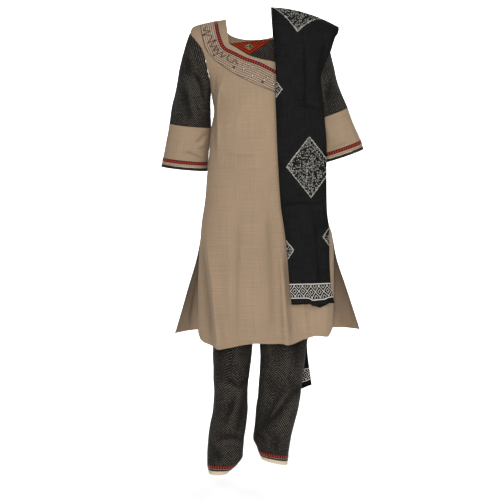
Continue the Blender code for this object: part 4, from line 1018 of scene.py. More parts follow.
def make_beads(name, spots, radius, out, finish, flat):
    """Beads or mirrors sewn on the band."""
    bm = bmesh.new()
    for spot in spots:
        middle = front_point(spot.x, spot.z, out)
        ahead = front_point(spot.x, spot.z, out + 1.0) - middle
        turn = Vector(ahead).to_track_quat("Z", "Y").to_matrix().to_4x4()
        made = bmesh.ops.create_uvsphere(bm, u_segments=14, v_segments=8, radius=radius)
        bmesh.ops.scale(bm, vec=(1, 1, flat), verts=made["verts"])
        bmesh.ops.rotate(bm, cent=(0, 0, 0), matrix=turn, verts=made["verts"])
        bmesh.ops.translate(bm, vec=Vector(middle), verts=made["verts"])
    bmesh.ops.scale(bm, vec=(MM, MM, MM), verts=bm.verts)
    return add_piece(name, bm, finish, 0)


def armhole_points(side, turn):
    """The armhole's own line: turn 0 is the shoulder tip, half a turn the underarm, by the front."""
    front = turn <= 0.5
    down = np.where(front, 2 * turn, 2 * (1 - turn))
    tip = TIP_RIGHT_SIDE if side < 0 else TIP_LEFT_SIDE
    z = mix(tip.z, UNDERARM_Z, (1 - np.cos(np.pi * down)) / 2)
    edge = 0 if side < 0 else 1
    x = np.where(front, panel_edges(FRONT_LEVELS, z)[edge], panel_edges(BACK_LEVELS, z)[edge])
    y = np.where(front, panel_y(FRONT_LEVELS, FRONT_FOLDS, x, z), panel_y(BACK_LEVELS, BACK_FOLDS, x, z))
    return np.stack([x, np.where(down > 0.999, 0.0, y), z], -1)


def tube_points(rings, creases, side, places, around, out=0.0, seed=0):
    """Points of a stretch of a sleeve. Turn 0 is its outer line, and it goes round by the front."""
    numbered = [Cell(n, ring) for n, ring in enumerate(rings)]
    at = np.asarray(places)[:, None]

    def column(name):
        cells = [Cell(cell.row, getattr(cell.value, name)) for cell in numbered]
        return smooth_read(cells, "row", "value", at)

    turn = (np.arange(around + 1) % around / around)[None, :]
    angle = 2 * np.pi * turn
    zero = np.zeros(np.broadcast(at, turn).shape)
    outer = np.stack(np.broadcast_arrays(column("outer_x"), column("mid_y"), column("outer_z")), -1)
    inner = np.stack(np.broadcast_arrays(column("inner_x"), column("mid_y"), column("inner_z")), -1)
    squash = np.sign(np.sin(angle)) * np.abs(np.sin(angle)) ** 0.92
    middle = (outer + inner) / 2
    point = middle + (outer - inner) / 2 * np.cos(angle)[..., None]
    depth = np.stack([zero, column("half_depth") + zero, column("tilt") + zero], -1)
    point = point - depth * squash[..., None]
    seam = armhole_points(side, turn) + np.array([side * SHOWN_ARMHOLE_GAP, 0, 0])
    point = mix(point, seam, column("armhole")[..., None])
    away = point - middle
    away /= np.linalg.norm(away, axis=-1, keepdims=True)
    x, z = point[..., 0], point[..., 2]
    free = 1 - column("armhole") ** 3
    front = np.clip(np.sin(angle), 0, 1) ** 0.6
    back = np.clip(-np.sin(angle), 0, 1) ** 0.6
    push = front * crease_height(creases, -1, x, z) + back * crease_height(creases, 1, x, z)
    push = push + 1.1 * soft_noise(x, z + 40 * np.sin(angle), 38, 21 + seed)
    push = push + 0.3 * soft_noise(x + point[..., 1], z, 13, 22 + seed)
    return point + away * (free * push + out)[..., None]


def tube_lift(creases, points, around):
    """The creases' lift round a tube whose first half of columns is its front."""
    x, z = points[..., 0], points[..., 2]
    front = (np.arange(around + 1) < around / 2)[None, :]
    return np.where(front, crease_height(creases, -1, x, z), crease_height(creases, 1, x, z))


def tube(name, rings, creases, side, places, finish, wall, out=0.0, around=144):
    """A closed stretch of a sleeve."""
    points = tube_points(rings, creases, side, places, around, out, seed=side)
    grain = grain_of(points, 0.25)
    lift = tube_lift(creases, points, around)
    return cloth(name, points, finish, wall, outward=side < 0, closed=True, grain=grain, lift=lift)


def make_sleeve(end, sleeve_rings, cuff_rings, sleeve_creases, cuff_creases, side, finishes):
    """A sleeve with its cuff, piping, ribbon and the ribbon's edge cords."""
    last = len(cuff_rings) - 1
    gap = last * 0.15 / CUFF_LENGTH
    piping = last - last * CUFF_PIPING_WIDTH / CUFF_LENGTH
    low, high = (last * share for share in CUFF_RIBBON_SPAN)
    tops = len(sleeve_rings) - 1
    sleeve = tube("sleeve_" + end, sleeve_rings, sleeve_creases, side, spread(90) * tops,
                  finishes["dark_print"], SHOWN_WALL)
    cuff = tube("cuff_" + end, cuff_rings, cuff_creases, side, mix(gap, piping - gap, spread(44)),
                finishes["beige"], SHOWN_WALL)
    trim = tube("cuff_piping_" + end, cuff_rings, cuff_creases, side, mix(piping, last, spread(3)),
                finishes["dark_print"], SHOWN_WALL, 0.25)
    points = tube_points(cuff_rings, cuff_creases, side, mix(low, high, spread(4)), 144, TRIM_OUT - 0.2, side)
    ribbon = cloth("cuff_ribbon_" + end, points, finishes["ribbon"], SHOWN_TRIM,
                   outward=side < 0, closed=True, grain=strip_grain(points))
    edges = []
    for place in (low - 0.012, high + 0.012, piping - 0.02):
        edges.append(tube_points(cuff_rings, cuff_creases, side, [place], 144, 0.2, side)[0, :-1])
    cords = thread("cuff_cords_" + end, edges, 0.4, finishes["cream_thread"], closed=True)
    return sleeve, cuff, trim, ribbon, cords


def leg_points(rings, creases, side, turn, z, out=0.0, seed=0):
    """Points of a salwar leg: turn 0 and 1 are its middle seam, half a turn is its outer side."""
    outer, inner = smooth_read(rings, "z", "outer", z), smooth_read(rings, "z", "inner", z)
    front, back = smooth_read(rings, "z", "front", z), smooth_read(rings, "z", "back", z)
    closing = np.clip((SEAT_Z - z) / (SEAT_Z - CROTCH_Z), 0, 1)
    open_share = np.sqrt(1 - closing * closing)
    reach = 1 - np.arcsin(open_share) / np.pi
    angle = np.pi * (2 * turn - 1) * reach
    end = np.cos(np.pi * reach)
    part = (np.cos(angle) - end) / (1 - end)
    size = np.maximum(0.0, 1 - np.abs(np.cos(angle)) ** SECTION_POWER) ** (1 / SECTION_POWER)
    facing = np.where(angle < 0, -1.0, 1.0)
    depth = np.where(angle < 0, front, back) * size
    x = mix(inner, outer, part)
    free = ease((-640 - z) / 60) * ease((z - rings[-1].z + 14) / 20)
    push = size * np.where(angle < 0, crease_height(creases, -1, x, z), crease_height(creases, 1, x, z))
    push = push + 1.3 * soft_noise(x + 30 * np.sin(angle), z, 44, 31 + seed)
    push = push + 0.35 * soft_noise(x + depth, z, 14, 32 + seed)
    out = out + free * push
    x = x + side * out * (2 * part - 1)
    if side > 0:
        down = np.clip((HEM_TILT_TOP_Z - z) / (HEM_TILT_TOP_Z - rings[-1].z), 0, 1)
        z = z + LEFT_HEM_TILT * down * (0.5 - part)
    return np.stack(np.broadcast_arrays(x, depth + facing * out * size, z), -1)


def leg_piece(name, rings, creases, side, heights, finish, wall, out=0.0, around=140, ribbon=False):
    z = np.asarray(heights, float)[:, None]
    turn = np.broadcast_to(np.arange(around + 1) / around, (len(heights), around + 1)).copy()
    turn[:, -1] = np.where(z[:, 0] <= CROTCH_Z, 0.0, 1.0)
    points = leg_points(rings, creases, side, turn, z, out, side)
    grain = strip_grain(points) if ribbon else grain_of(points, 0.5)
    lift = tube_lift(creases, points, around)
    return cloth(name, points, finish, wall, outward=side > 0, closed=True, grain=grain, lift=lift)


def make_leg(end, rings, creases, side, finishes):
    """A salwar leg with its border strip, ribbon and the ribbon's edge cords."""
    hem_z = rings[-1].z
    strip_top = hem_z + LEG_STRIP_WIDTH
    low = strip_top + LEG_RIBBON_RISE
    high = low + LEG_RIBBON_WIDTH
    heights = np.concatenate([mix(rings[0].z, SEAT_Z, spread(16))[:-1],
                              mix(SEAT_Z, CROTCH_Z, spread(36) ** 0.85)[:-1],
                              mix(CROTCH_Z, strip_top + 0.4, spread(132))])
    leg = leg_piece("salwar_leg_" + end, rings, creases, side, heights, finishes["dark_print"], SHOWN_WALL)
    strip = leg_piece("leg_border_" + end, rings, creases, side, mix(strip_top, hem_z, spread(4)),
                      finishes["cream"], SHOWN_WALL)
    ribbon = leg_piece("leg_ribbon_" + end, rings, creases, side, mix(high, low, spread(4)),
                       finishes["ribbon"], SHOWN_TRIM, TRIM_OUT - 0.2, ribbon=True)
    turn = (np.arange(140) / 140)[None, :]
    edges = [leg_points(rings, creases, side, turn, np.full((1, 1), z), 0.5, side)[0]
             for z in (low - 0.5, strip_top + 0.2)]
    cords = thread("leg_cords_" + end, edges, 0.4, finishes["cream_thread"], closed=True)
    return leg, strip, ribbon, cords


def make_waistband(finish):
    """The plain band round the top of the two legs."""
    around = 200
    right, left = LEG_RIGHT_RINGS[0], LEG_LEFT_RINGS[0]
    half, middle = (left.outer - right.outer) / 2, (left.outer + right.outer) / 2
    angle = 2 * np.pi * (np.arange(around + 1) % around)[None, :] / around
    c, s = np.cos(angle), np.sin(angle)
    x = middle + half * np.sign(c) * np.abs(c) ** (2 / SECTION_POWER)
    depth = np.abs(s) ** (2 / SECTION_POWER) * np.where(s > 0, right.back, right.front)
    down = spread(14)[:, None]
    gather = -0.7 * (1 + np.sin(angle * 46 + 1.5 * np.sin(angle * 5))) * np.sin(np.pi * down) ** 0.5
    scale = 1 + gather / half
    z = right.z + 0.2 + WAISTBAND_WIDTH * (1 - down)
    points = np.stack(np.broadcast_arrays(middle + (x - middle) * scale, depth * scale, z), -1)
    return cloth("salwar_waistband", points, finish, 1.6, outward=False, closed=True)


def make_dupatta(finish):
    """The dupatta folded lengthwise in six, from its front end over the shoulder to its back end."""
    ribs = DUPATTA_FRONT_RIBS + DUPATTA_BACK_RIBS

    def column(name, at):
        cells = [Cell(n, getattr(rib, name)) for n, rib in enumerate(ribs)]
        return smooth_read(cells, "row", "value", at)

    fine = np.linspace(0, len(ribs) - 1, 2000)
    middle = np.stack([(column("left_" + k, fine) + column("right_" + k, fine)) / 2 for k in "xyz"], -1)
    run = np.concatenate([[0], np.cumsum(np.linalg.norm(np.diff(middle, axis=0), axis=1))])
    length = run[-1]
    rows = 380
    v = length * spread(rows)
    at = np.interp(v, run, fine)[:, None]
    places, layers = [], []
    for layer in range(SHOWN_LAYERS):
        cells = 42 if layer == SHOWN_LAYERS - 1 else 9
        steps = spread(cells)
        places += list(steps[::-1] if layer % 2 == 0 else steps)
        layers += [layer] * (cells + 1)
        if layer < SHOWN_LAYERS - 1:
            beyond = -1 if layer % 2 == 0 else 1
            end = 0.0 if layer % 2 == 0 else 1.0
            places.append(end + beyond * DUPATTA_TUCK / DUPATTA_WIDTH)
            layers.append(layer + 0.5)
    place, layer = np.array(places)[None, :], np.array(layers)[None, :]
    left = np.stack([column("left_" + k, at) for k in "xyz"], -1)
    right = np.stack([column("right_" + k, at) for k in "xyz"], -1)
    face = np.radians(column("face", at))
    out = np.stack([np.zeros(face.shape), -np.cos(face), np.sin(face)], -1)
    pitch = column("pitch", at) * (DUPATTA_LAYERS - 1) / (SHOWN_LAYERS - 1)
    tuck = DUPATTA_TUCK * (DUPATTA_LAYERS - 1) * (1 - layer / (SHOWN_LAYERS - 1)) / DUPATTA_WIDTH
    inner_place = mix(tuck, 1 - tuck, place)
    rise = column("bow", at) * 4 * inner_place * (1 - inner_place) + pitch * layer
    base = left + (right - left) * inner_place[..., None]
    x, z = base[..., 0], base[..., 2]
    towards = np.cos(face)
    push = np.where(towards > 0, crease_height(DUPATTA_CREASES, -1, x, z),
                    crease_height(DUPATTA_CREASES, 1, x, z)) * np.abs(towards) ** 0.5
    top = np.isclose(layer, SHOWN_LAYERS - 1)
    puff = OUTER_PUFF * np.sin(np.pi * np.clip(place, 0, 1)) ** 0.5
    uneven = 0.8 * soft_noise(x, v[:, None], 60, 41) + 0.3 * soft_noise(x, v[:, None], 18, 42)
    push = np.where(top, np.maximum(push + puff + uneven, 0.5 * np.minimum(puff, 1.0)), 0.0)
    points = base + out * (rise + push + 0.4)[..., None]
    points[..., 2] -= end_drop(place, layer, v[:, None], length)
    width = np.where(top, place, place + (SHOWN_LAYERS - 1 - layer))
    grain = np.stack([np.broadcast_to(width * DUPATTA_CLOTH_WIDTH * MM, v.shape + place.shape[1:]),
                      np.broadcast_to(v[:, None] * MM, v.shape + place.shape[1:])], -1)
    piece = cloth("dupatta", points, finish, SHOWN_LAYER_WALL, offset=0.0, grain=grain, lift=push)
    return piece, length


def end_drop(place, layer, v, length):
    """How far each layer hangs below the others at the two ends."""
    near_front, near_back = ease(1 - v / 70), ease(1 - (length - v) / 70)
    uneven = 2.2 * soft_noise(place * 150 + layer * 37, 0, 26, 51)
    corner = np.where(np.isclose(layer, 3), 15 * np.sin(np.pi * np.clip((place - 0.46) / 0.4, 0, 1)), 0)
    outer_corner = np.where(layer > 3.9, 6 * ease((place - 0.42) / 0.1) * ease((0.9 - place) / 0.12), 0)
    return near_front * (uneven + corner + outer_corner) + near_back * (uneven + 1.5 * layer)


def link(tree, value, socket):
    """Puts a node's output or a plain number on a socket."""
    if isinstance(value, bpy.types.NodeSocket):
        tree.links.new(value, socket)
    else:
        socket.default_value = value


def calc(tree, operation, a, b=0.0, c=0.0):
    """The result of one sum in a material."""
    node = tree.nodes.new("ShaderNodeMath")
    node.operation = operation
    for value, socket in zip((a, b, c), node.inputs):
        link(tree, value, socket)
    return node.outputs[0]


def ramp(tree, value, low, high, start=0.0, end=1.0):
    """Smoothly from start to end while the value goes from low to high."""
    node = tree.nodes.new("ShaderNodeMapRange")
    node.interpolation_type = "SMOOTHSTEP"
    link(tree, value, node.inputs["Value"])
    node.inputs["From Min"].default_value = low
    node.inputs["From Max"].default_value = high
    node.inputs["To Min"].default_value = start
    node.inputs["To Max"].default_value = end
    return node.outputs["Result"]


def blend_colour(tree, share, first, second):
    """From the first colour to the second by a share."""
    node = tree.nodes.new("ShaderNodeMix")
    node.data_type = "RGBA"
    link(tree, share, node.inputs["Factor"])
    for value, socket in ((first, node.inputs["A"]), (second, node.inputs["B"])):
        if isinstance(value, tuple):
            socket.default_value = (*value, 1.0)
        else:
            tree.links.new(value, socket)
    return node.outputs["Result"]


def vector(tree, x, y, z=0.0):
    """A place from its three numbers."""
    node = tree.nodes.new("ShaderNodeCombineXYZ")
    for value, socket in zip((x, y, z), node.inputs):
        link(tree, value, socket)
    return node.outputs[0]


def noise(tree, place, scale, detail=2.0, distortion=0.0):
    """Soft unevenness over a surface, about 0.5."""
    node = tree.nodes.new("ShaderNodeTexNoise")
    tree.links.new(place, node.inputs["Vector"])
    node.inputs["Scale"].default_value = scale
    node.inputs["Detail"].default_value = detail
    node.inputs["Distortion"].default_value = distortion
    return node.outputs["Fac"]


def new_finish(name, roughness, sheen, gloss=0.12):
    """A cloth material: its tree, its shader, and the grain in millimetres across and down."""
    material = bpy.data.materials.new(name)
    material.use_nodes = True
    tree = material.node_tree
    shader = tree.nodes["Principled BSDF"]
    shader.inputs["Roughness"].default_value = roughness
    shader.inputs["Specular IOR Level"].default_value = gloss
    shader.inputs["Sheen Weight"].default_value = sheen
    shader.inputs["Sheen Roughness"].default_value = 0.45
    grain = tree.nodes.new("ShaderNodeUVMap")
    grain.uv_map = "Cloth"
    parts = tree.nodes.new("ShaderNodeSeparateXYZ")
    tree.links.new(grain.outputs["UV"], parts.inputs[0])
    u = calc(tree, "MULTIPLY", parts.outputs[0], 1000.0)
    v = calc(tree, "MULTIPLY", parts.outputs[1], 1000.0)
    place = tree.nodes.new("ShaderNodeTexCoord").outputs["Object"]
    return material, tree, shader, u, v, place


def lift_of(tree):
    """How far the cloth's creases stand out here, in millimetres."""
    node = tree.nodes.new("ShaderNodeAttribute")
    node.attribute_name = "lift"
    return node.outputs["Fac"]


def weave_height(tree, u, v, pitch):
    """The over and under of a plain weave with threads that far apart."""
    turn = 2 * math.pi / pitch
    warp = calc(tree, "SINE", calc(tree, "MULTIPLY", u, turn))
    weft = calc(tree, "SINE", calc(tree, "MULTIPLY", v, turn))
    return calc(tree, "MULTIPLY_ADD", calc(tree, "MULTIPLY", warp, weft), 0.5, 0.5)


def slubs(tree, u, v, fine, long):
    """Threads of uneven thickness, which run both ways through handloom cloth."""
    warp = vector(tree, calc(tree, "MULTIPLY", u, fine), calc(tree, "MULTIPLY", v, long))
    weft = vector(tree, calc(tree, "MULTIPLY", u, long), calc(tree, "MULTIPLY", v, fine), 7.0)
    down, over = noise(tree, warp, 1.0, 2.0), noise(tree, weft, 1.0, 2.0)
    return calc(tree, "MULTIPLY", calc(tree, "ADD", down, over), 0.5)


def add_bump(tree, shader, height, distance, strength=1.0):
    """Fine relief, its depth in millimetres."""
    node = tree.nodes.new("ShaderNodeBump")
    node.inputs["Distance"].default_value = distance * MM
    node.inputs["Strength"].default_value = strength
    tree.links.new(height, node.inputs["Height"])
    tree.links.new(node.outputs["Normal"], shader.inputs["Normal"])


def beige_finish(name="beige_handloom", tint=BEIGE):
    """Handloom cotton: uneven threads both ways, flecks, and painted shade in the creases' troughs."""
    material, tree, shader, u, v, place = new_finish(name, 0.88, 0.05)
    slub = slubs(tree, u, v, 0.75, 0.01)
    fleck = noise(tree, vector(tree, u, v), 0.9, 3.0)
    cloud = noise(tree, place, 5.0, 3.0)
    shade = calc(tree, "ADD", calc(tree, "MULTIPLY", slub, 0.6), calc(tree, "MULTIPLY", fleck, 0.34))
    shade = calc(tree, "ADD", shade, calc(tree, "MULTIPLY", cloud, 0.16))
    share = ramp(tree, shade, 0.42, 0.68)
    dark = tuple(c * 0.84 for c in tint)
    light = tuple(min(1.0, c * 1.14) for c in tint)
    colour = blend_colour(tree, share, dark, light)
    # Painted shade: where the creases' lift sinks, the colour goes towards 0.55 of the tint, darker in the
    # troughs.
    painted_crease_shade = ramp(tree, lift_of(tree), -3.0, 0.5, 0.5, 0.0)
    colour = blend_colour(tree, painted_crease_shade, colour, tuple(c * 0.55 for c in tint))
    tree.links.new(colour, shader.inputs["Base Color"])
    height = calc(tree, "ADD", weave_height(tree, u, v, 0.9), calc(tree, "MULTIPLY", slub, 2.2))
    add_bump(tree, shader, height, 0.12, 0.8)
    return material


def away_from(tree, value, middle):
    """How far a value is from its middle, to either side."""
    return calc(tree, "ABSOLUTE", calc(tree, "SUBTRACT", value, middle))


def in_repeat(tree, value, pitch):
    """How far a place is from the middle of its repeat, as a share of the repeat's pitch."""
    return away_from(tree, calc(tree, "FRACT", calc(tree, "DIVIDE", value, pitch)), 0.5)


def crossings(tree, u, v, pitch):
    """How far from the nearest crossing of a diagonal lattice, along each of its two ways."""
    return [in_repeat(tree, calc(tree, way, u, v), pitch) for way in ("ADD", "SUBTRACT")]


def line_at(tree, value, middle, half_width, soft):
    """A line where the value is near its middle."""
    return ramp(tree, away_from(tree, value, middle), half_width, half_width + soft, 1.0, 0.0)


def dark_print_finish():
    """Nearly black cotton with small worn dots on a diagonal lattice, the dots painted brighter on crease
    ridges and dimmer in troughs as painted highlight and shade.
    """
    material, tree, shader, u, v, place = new_finish("dark_block_print", 0.84, 0.02)
    a, b = crossings(tree, u, v, DOT_PITCH)
    away = calc(tree, "SQRT", calc(tree, "ADD", calc(tree, "MULTIPLY", a, a), calc(tree, "MULTIPLY", b, b)))
    dots = ramp(tree, away, 0.2, 0.32, 1.0, 0.0)
    worn = ramp(tree, noise(tree, vector(tree, u, v), 0.16, 4.0), 0.34, 0.66, 0.3, 1.25)
    rust = ramp(tree, noise(tree, vector(tree, u, v, 5.0), 0.03, 2.0), 0.45, 0.65)
    cloud = ramp(tree, noise(tree, place, 16.0, 3.0), 0.35, 0.7, 0.6, 1.5)
    # Painted highlight and shade: the dots are brightened where the creases' lift rises and dimmed where it
    # sinks.
    painted_fold_light = ramp(tree, lift_of(tree), -3.0, 5.0, 0.25, 2.2)
    ground = blend_colour(tree, rust, PRINT_BLACK, PRINT_RUST)
    share = calc(tree, "MULTIPLY", calc(tree, "MULTIPLY", dots, worn), calc(tree, "MULTIPLY", cloud, painted_fold_light))
    tree.links.new(blend_colour(tree, share, ground, PRINT_DOT), shader.inputs["Base Color"])
    height = calc(tree, "ADD", weave_height(tree, u, v, 0.7), calc(tree, "MULTIPLY", dots, 0.8))
    add_bump(tree, shader, height, 0.1, 0.7)
    return material


def diamond_mask(tree, u, v, diamond):
    """1 in the middle of a diamond, 0 on its outline and less outside it."""
    a = calc(tree, "DIVIDE", away_from(tree, u, diamond.across), diamond.half_across)
    b = calc(tree, "DIVIDE", away_from(tree, v, diamond.along), diamond.half_along)
    return calc(tree, "SUBTRACT", 1.0, calc(tree, "ADD", a, b))


def scribbles(tree, u, v, flat):
    """Rows of small printed curls: broken rings with a dot here and there."""
    wander = vector(tree, calc(tree, "MULTIPLY_ADD", noise(tree, flat, 0.09, 2.0), 7.0, u),
                    calc(tree, "MULTIPLY_ADD", noise(tree, flat, 0.1, 2.0), -7.0, v))
    curls = tree.nodes.new("ShaderNodeTexVoronoi")
    curls.inputs["Scale"].default_value = 0.21
    curls.inputs["Randomness"].default_value = 0.55
    tree.links.new(wander, curls.inputs["Vector"])
    ring = line_at(tree, curls.outputs["Distance"], 0.34, 0.045, 0.04)
    dot = ramp(tree, curls.outputs["Distance"], 0.06, 0.12, 1.0, 0.0)
    gaps = ramp(tree, noise(tree, flat, 0.4, 2.0), 0.42, 0.54)
    return calc(tree, "MAXIMUM", calc(tree, "MULTIPLY", ring, gaps), dot)


def border_print(tree, u, from_end):
    """Nested diamonds between two rails, near each end of the dupatta."""
    rows = calc(tree, "SUBTRACT", from_end, (BORDER_LOW + BORDER_HIGH) / 2)
    a, b = crossings(tree, u, rows, BORDER_PITCH)
    nested = calc(tree, "MAXIMUM", a, b)
    lattice = calc(tree, "MAXIMUM", ramp(tree, nested, 0.455, 0.47), line_at(tree, nested, 0.2, 0.022, 0.015))
    from_middle = calc(tree, "ABSOLUTE", rows)
    inner = ramp(tree, from_middle, 18.0, 18.6, 1.0, 0.0)
    rails = line_at(tree, from_middle, 21.6, 1.1, 0.4)
    return calc(tree, "MAXIMUM", calc(tree, "MULTIPLY", lattice, inner), rails)


def dupatta_finish(length):
    """Black cotton with block-printed diamonds, a lattice border near each end, and painted shade along its
    folds.
    """
    material, tree, shader, u, v, _ = new_finish("black_dupatta", 0.9, 0.0, 0.08)
    inside = diamond_mask(tree, u, v, DUPATTA_DIAMONDS[0])
    for diamond in DUPATTA_DIAMONDS[1:]:
        inside = calc(tree, "MAXIMUM", inside, diamond_mask(tree, u, v, diamond))
    flat = vector(tree, u, v)
    ragged = calc(tree, "MULTIPLY", calc(tree, "SUBTRACT", noise(tree, flat, 0.2, 2.0), 0.5), 0.12)
    edge = calc(tree, "ADD", inside, ragged)
    rim = line_at(tree, edge, 0.02, 0.012, 0.012)
    motif = calc(tree, "MULTIPLY", ramp(tree, edge, 0.0, 0.02), scribbles(tree, u, v, flat))
    motif = calc(tree, "MAXIMUM", motif, calc(tree, "MULTIPLY", rim, 0.6))
    from_end = calc(tree, "MINIMUM", v, calc(tree, "SUBTRACT", length, v))
    print_share = calc(tree, "MAXIMUM", motif, border_print(tree, u, from_end))
    worn = ramp(tree, noise(tree, flat, 0.8, 2.0), 0.3, 0.62, 0.35, 1.0)
    print_share = calc(tree, "MULTIPLY", print_share, worn)
    slub = slubs(tree, u, v, 0.7, 0.02)
    ground = blend_colour(tree, ramp(tree, slub, 0.4, 0.62), DUPATTA_BLACK, DUPATTA_SLUB)
    # Painted shade: the black ground darkens further where the lift is low, along the fold lines and on the
    # layers under the top one.
    painted_crease_shade = ramp(tree, lift_of(tree), 0.2, 2.4, 0.6, 0.0)
    ground = blend_colour(tree, painted_crease_shade, ground, DUPATTA_PAINTED_SHADE)
    colour = blend_colour(tree, print_share, ground, PRINT_WHITE)
    tree.links.new(colour, shader.inputs["Base Color"])
    height = calc(tree, "ADD", weave_height(tree, u, v, 0.8), calc(tree, "MULTIPLY", slub, 1.5))
    height = calc(tree, "ADD", height, calc(tree, "MULTIPLY", print_share, 0.5))
    add_bump(tree, shader, height, 0.12, 0.7)
    return material


def ribbon_finish():
    """Woven maroon ribbon: a row of red squares between two dark edges."""
    material, tree, shader, u, v, _ = new_finish("maroon_ladder_ribbon", 0.6, 0.05)
    from_middle = away_from(tree, v, RIBBON_WIDTH / 2)
    along_rung = ramp(tree, in_repeat(tree, u, RUNG_PITCH), 0.2, 0.26, 1.0, 0.0)
    rung = calc(tree, "MULTIPLY", along_rung, ramp(tree, from_middle, 2.9, 3.4, 1.0, 0.0))
    worn = ramp(tree, noise(tree, vector(tree, u, v), 0.5, 2.0), 0.3, 0.7, 0.7, 1.0)
    colour = blend_colour(tree, calc(tree, "MULTIPLY", rung, worn), MAROON_DARK, MAROON_RED)
    colour = blend_colour(tree, line_at(tree, from_middle, 4.6, 0.6, 0.4), colour, MAROON_EDGE)
    tree.links.new(colour, shader.inputs["Base Color"])
    ribs = calc(tree, "SINE", calc(tree, "MULTIPLY", u, 2 * math.pi / 0.8))
    height = calc(tree, "ADD", calc(tree, "MULTIPLY", ribs, 0.4), calc(tree, "MULTIPLY", rung, 1.6))
    add_bump(tree, shader, height, 0.14, 0.9)
    return material


def dashes(tree, run, side, pitch, length, gap, width):
    """Running stitches in lines that far apart: a mask of the thread."""
    line = calc(tree, "DIVIDE", side, pitch)
    away = away_from(tree, calc(tree, "FRACT", line), 0.5)
    shift = calc(tree, "MULTIPLY", calc(tree, "FLOOR", line), 0.37 * (length + gap))
    dash = calc(tree, "FRACT", calc(tree, "DIVIDE", calc(tree, "ADD", run, shift), length + gap))
    half = length / (length + gap) / 2
    on = ramp(tree, away_from(tree, dash, 0.5), half, half + 0.06, 1.0, 0.0)
    return calc(tree, "MULTIPLY", on, ramp(tree, away, width / pitch / 2, width / pitch / 2 + 0.07, 1.0, 0.0))


def band_finish():
    """Greyed beige cotton covered in rows of brown running stitch, with finer cross rows near its far end."""
    material, tree, shader, u, v, _ = new_finish("running_stitch_band", 0.8, 0.05)
    rows = dashes(tree, u, v, 6.6, 3.8, 0.9, 2.2)
    near_end = ramp(tree, u, 70.0, 120.0)
    slant = dashes(tree, calc(tree, "ADD", u, v), calc(tree, "SUBTRACT", u, v), 6.6, 3.0, 1.6, 1.5)
    thread_mask = calc(tree, "MAXIMUM", rows, calc(tree, "MULTIPLY", slant, near_end))
    slub = slubs(tree, u, v, 0.55, 0.03)
    puff = noise(tree, vector(tree, u, v), 0.3, 2.0)
    ground = blend_colour(tree, ramp(tree, slub, 0.4, 0.62), BAND_DARK, BAND_LIGHT)
    colour = blend_colour(tree, calc(tree, "MULTIPLY", thread_mask, 0.85), ground, BAND_THREAD)
    tree.links.new(colour, shader.inputs["Base Color"])
    height = calc(tree, "ADD", calc(tree, "MULTIPLY", thread_mask, -1.2), calc(tree, "MULTIPLY", puff, 2.4))
    add_bump(tree, shader, height, 0.3, 0.9)
    return material


def patch_finish():
    """Red-orange cloth filled with close slanting stitches, in stripes along its two lower edges."""
    material, tree, shader, u, v, _ = new_finish("red_embroidery", 0.75, 0.0, 0.05)
    slant = calc(tree, "ADD", u, calc(tree, "MULTIPLY", v, STITCH_SLANT))
    other = calc(tree, "SUBTRACT", u, calc(tree, "MULTIPLY", v, STITCH_SLANT))
    from_tip = calc(tree, "SUBTRACT", u, PATCH_TIP_X)
    edges = [calc(tree, "MULTIPLY_ADD", from_tip, slope, PATCH_TIP_Z) for slope in PATCH_SLOPES]
    above = [calc(tree, "SUBTRACT", v, edge) for edge in edges]
    from_edge = calc(tree, "MINIMUM", *above)
    dark = ramp(tree, in_repeat(tree, from_edge, PATCH_STRIPE_PITCH), 0.17, 0.27)
    stitch = blend_value(tree, u, PATCH_TIP_X, slant, other)
    fine = calc(tree, "SINE", calc(tree, "MULTIPLY", stitch, 2 * math.pi / 0.9))
    flecks = ramp(tree, noise(tree, vector(tree, u, v), 0.4, 3.0), 0.42, 0.68)
    colour = blend_colour(tree, flecks, PATCH_RED, PATCH_ORANGE)
    colour = blend_colour(tree, dark, colour, PATCH_DARK)
    motif_across = calc(tree, "DIVIDE", away_from(tree, u, PATCH_MOTIF.x), PATCH_MOTIF_HALF.x)
    motif_down = calc(tree, "DIVIDE", away_from(tree, v, PATCH_MOTIF.z), PATCH_MOTIF_HALF.z)
    motif = ramp(tree, calc(tree, "ADD", motif_across, motif_down), 0.75, 1.0, 1.0, 0.0)
    thread_place = noise(tree, vector(tree, u, v, 3.0), 0.28, 2.0)
    ornament = blend_colour(tree, ramp(tree, thread_place, 0.5, 0.56), MOTIF_GREEN, MOTIF_CREAM)
    colour = blend_colour(tree, motif, colour, ornament)
    tree.links.new(colour, shader.inputs["Base Color"])
    height = calc(tree, "ADD", calc(tree, "MULTIPLY", fine, 0.5), calc(tree, "MULTIPLY", dark, -1.0))
    add_bump(tree, shader, height, 0.3, 1.0)
    return material


def blend_value(tree, u, at, low, high):
    """One value to the left of a place and another to its right."""
    share = ramp(tree, u, at - 1.0, at + 1.0)
    return calc(tree, "ADD", calc(tree, "MULTIPLY", low, calc(tree, "SUBTRACT", 1.0, share)),
                calc(tree, "MULTIPLY", high, share))


def plain_finish(name, colour, roughness, metallic=0.0, sheen=0.0, fleck=0.12, coat=0.0):
    """Thread, bead, mirror or floor: a plain colour that varies a little over the surface."""
    material = bpy.data.materials.new(name)
    material.use_nodes = True
    tree = material.node_tree
    shader = tree.nodes["Principled BSDF"]
    shader.inputs["Roughness"].default_value = roughness
    shader.inputs["Metallic"].default_value = metallic
    shader.inputs["Sheen Weight"].default_value = sheen
    shader.inputs["Coat Weight"].default_value = coat
    place = tree.nodes.new("ShaderNodeTexCoord").outputs["Object"]
    share = noise(tree, place, 900.0, 2.0)
    low = tuple(c * (1 - fleck) for c in colour)
    high = tuple(min(1.0, c * (1 + fleck)) for c in colour)
    tree.links.new(blend_colour(tree, ramp(tree, share, 0.3, 0.7), low, high), shader.inputs["Base Color"])
    return material


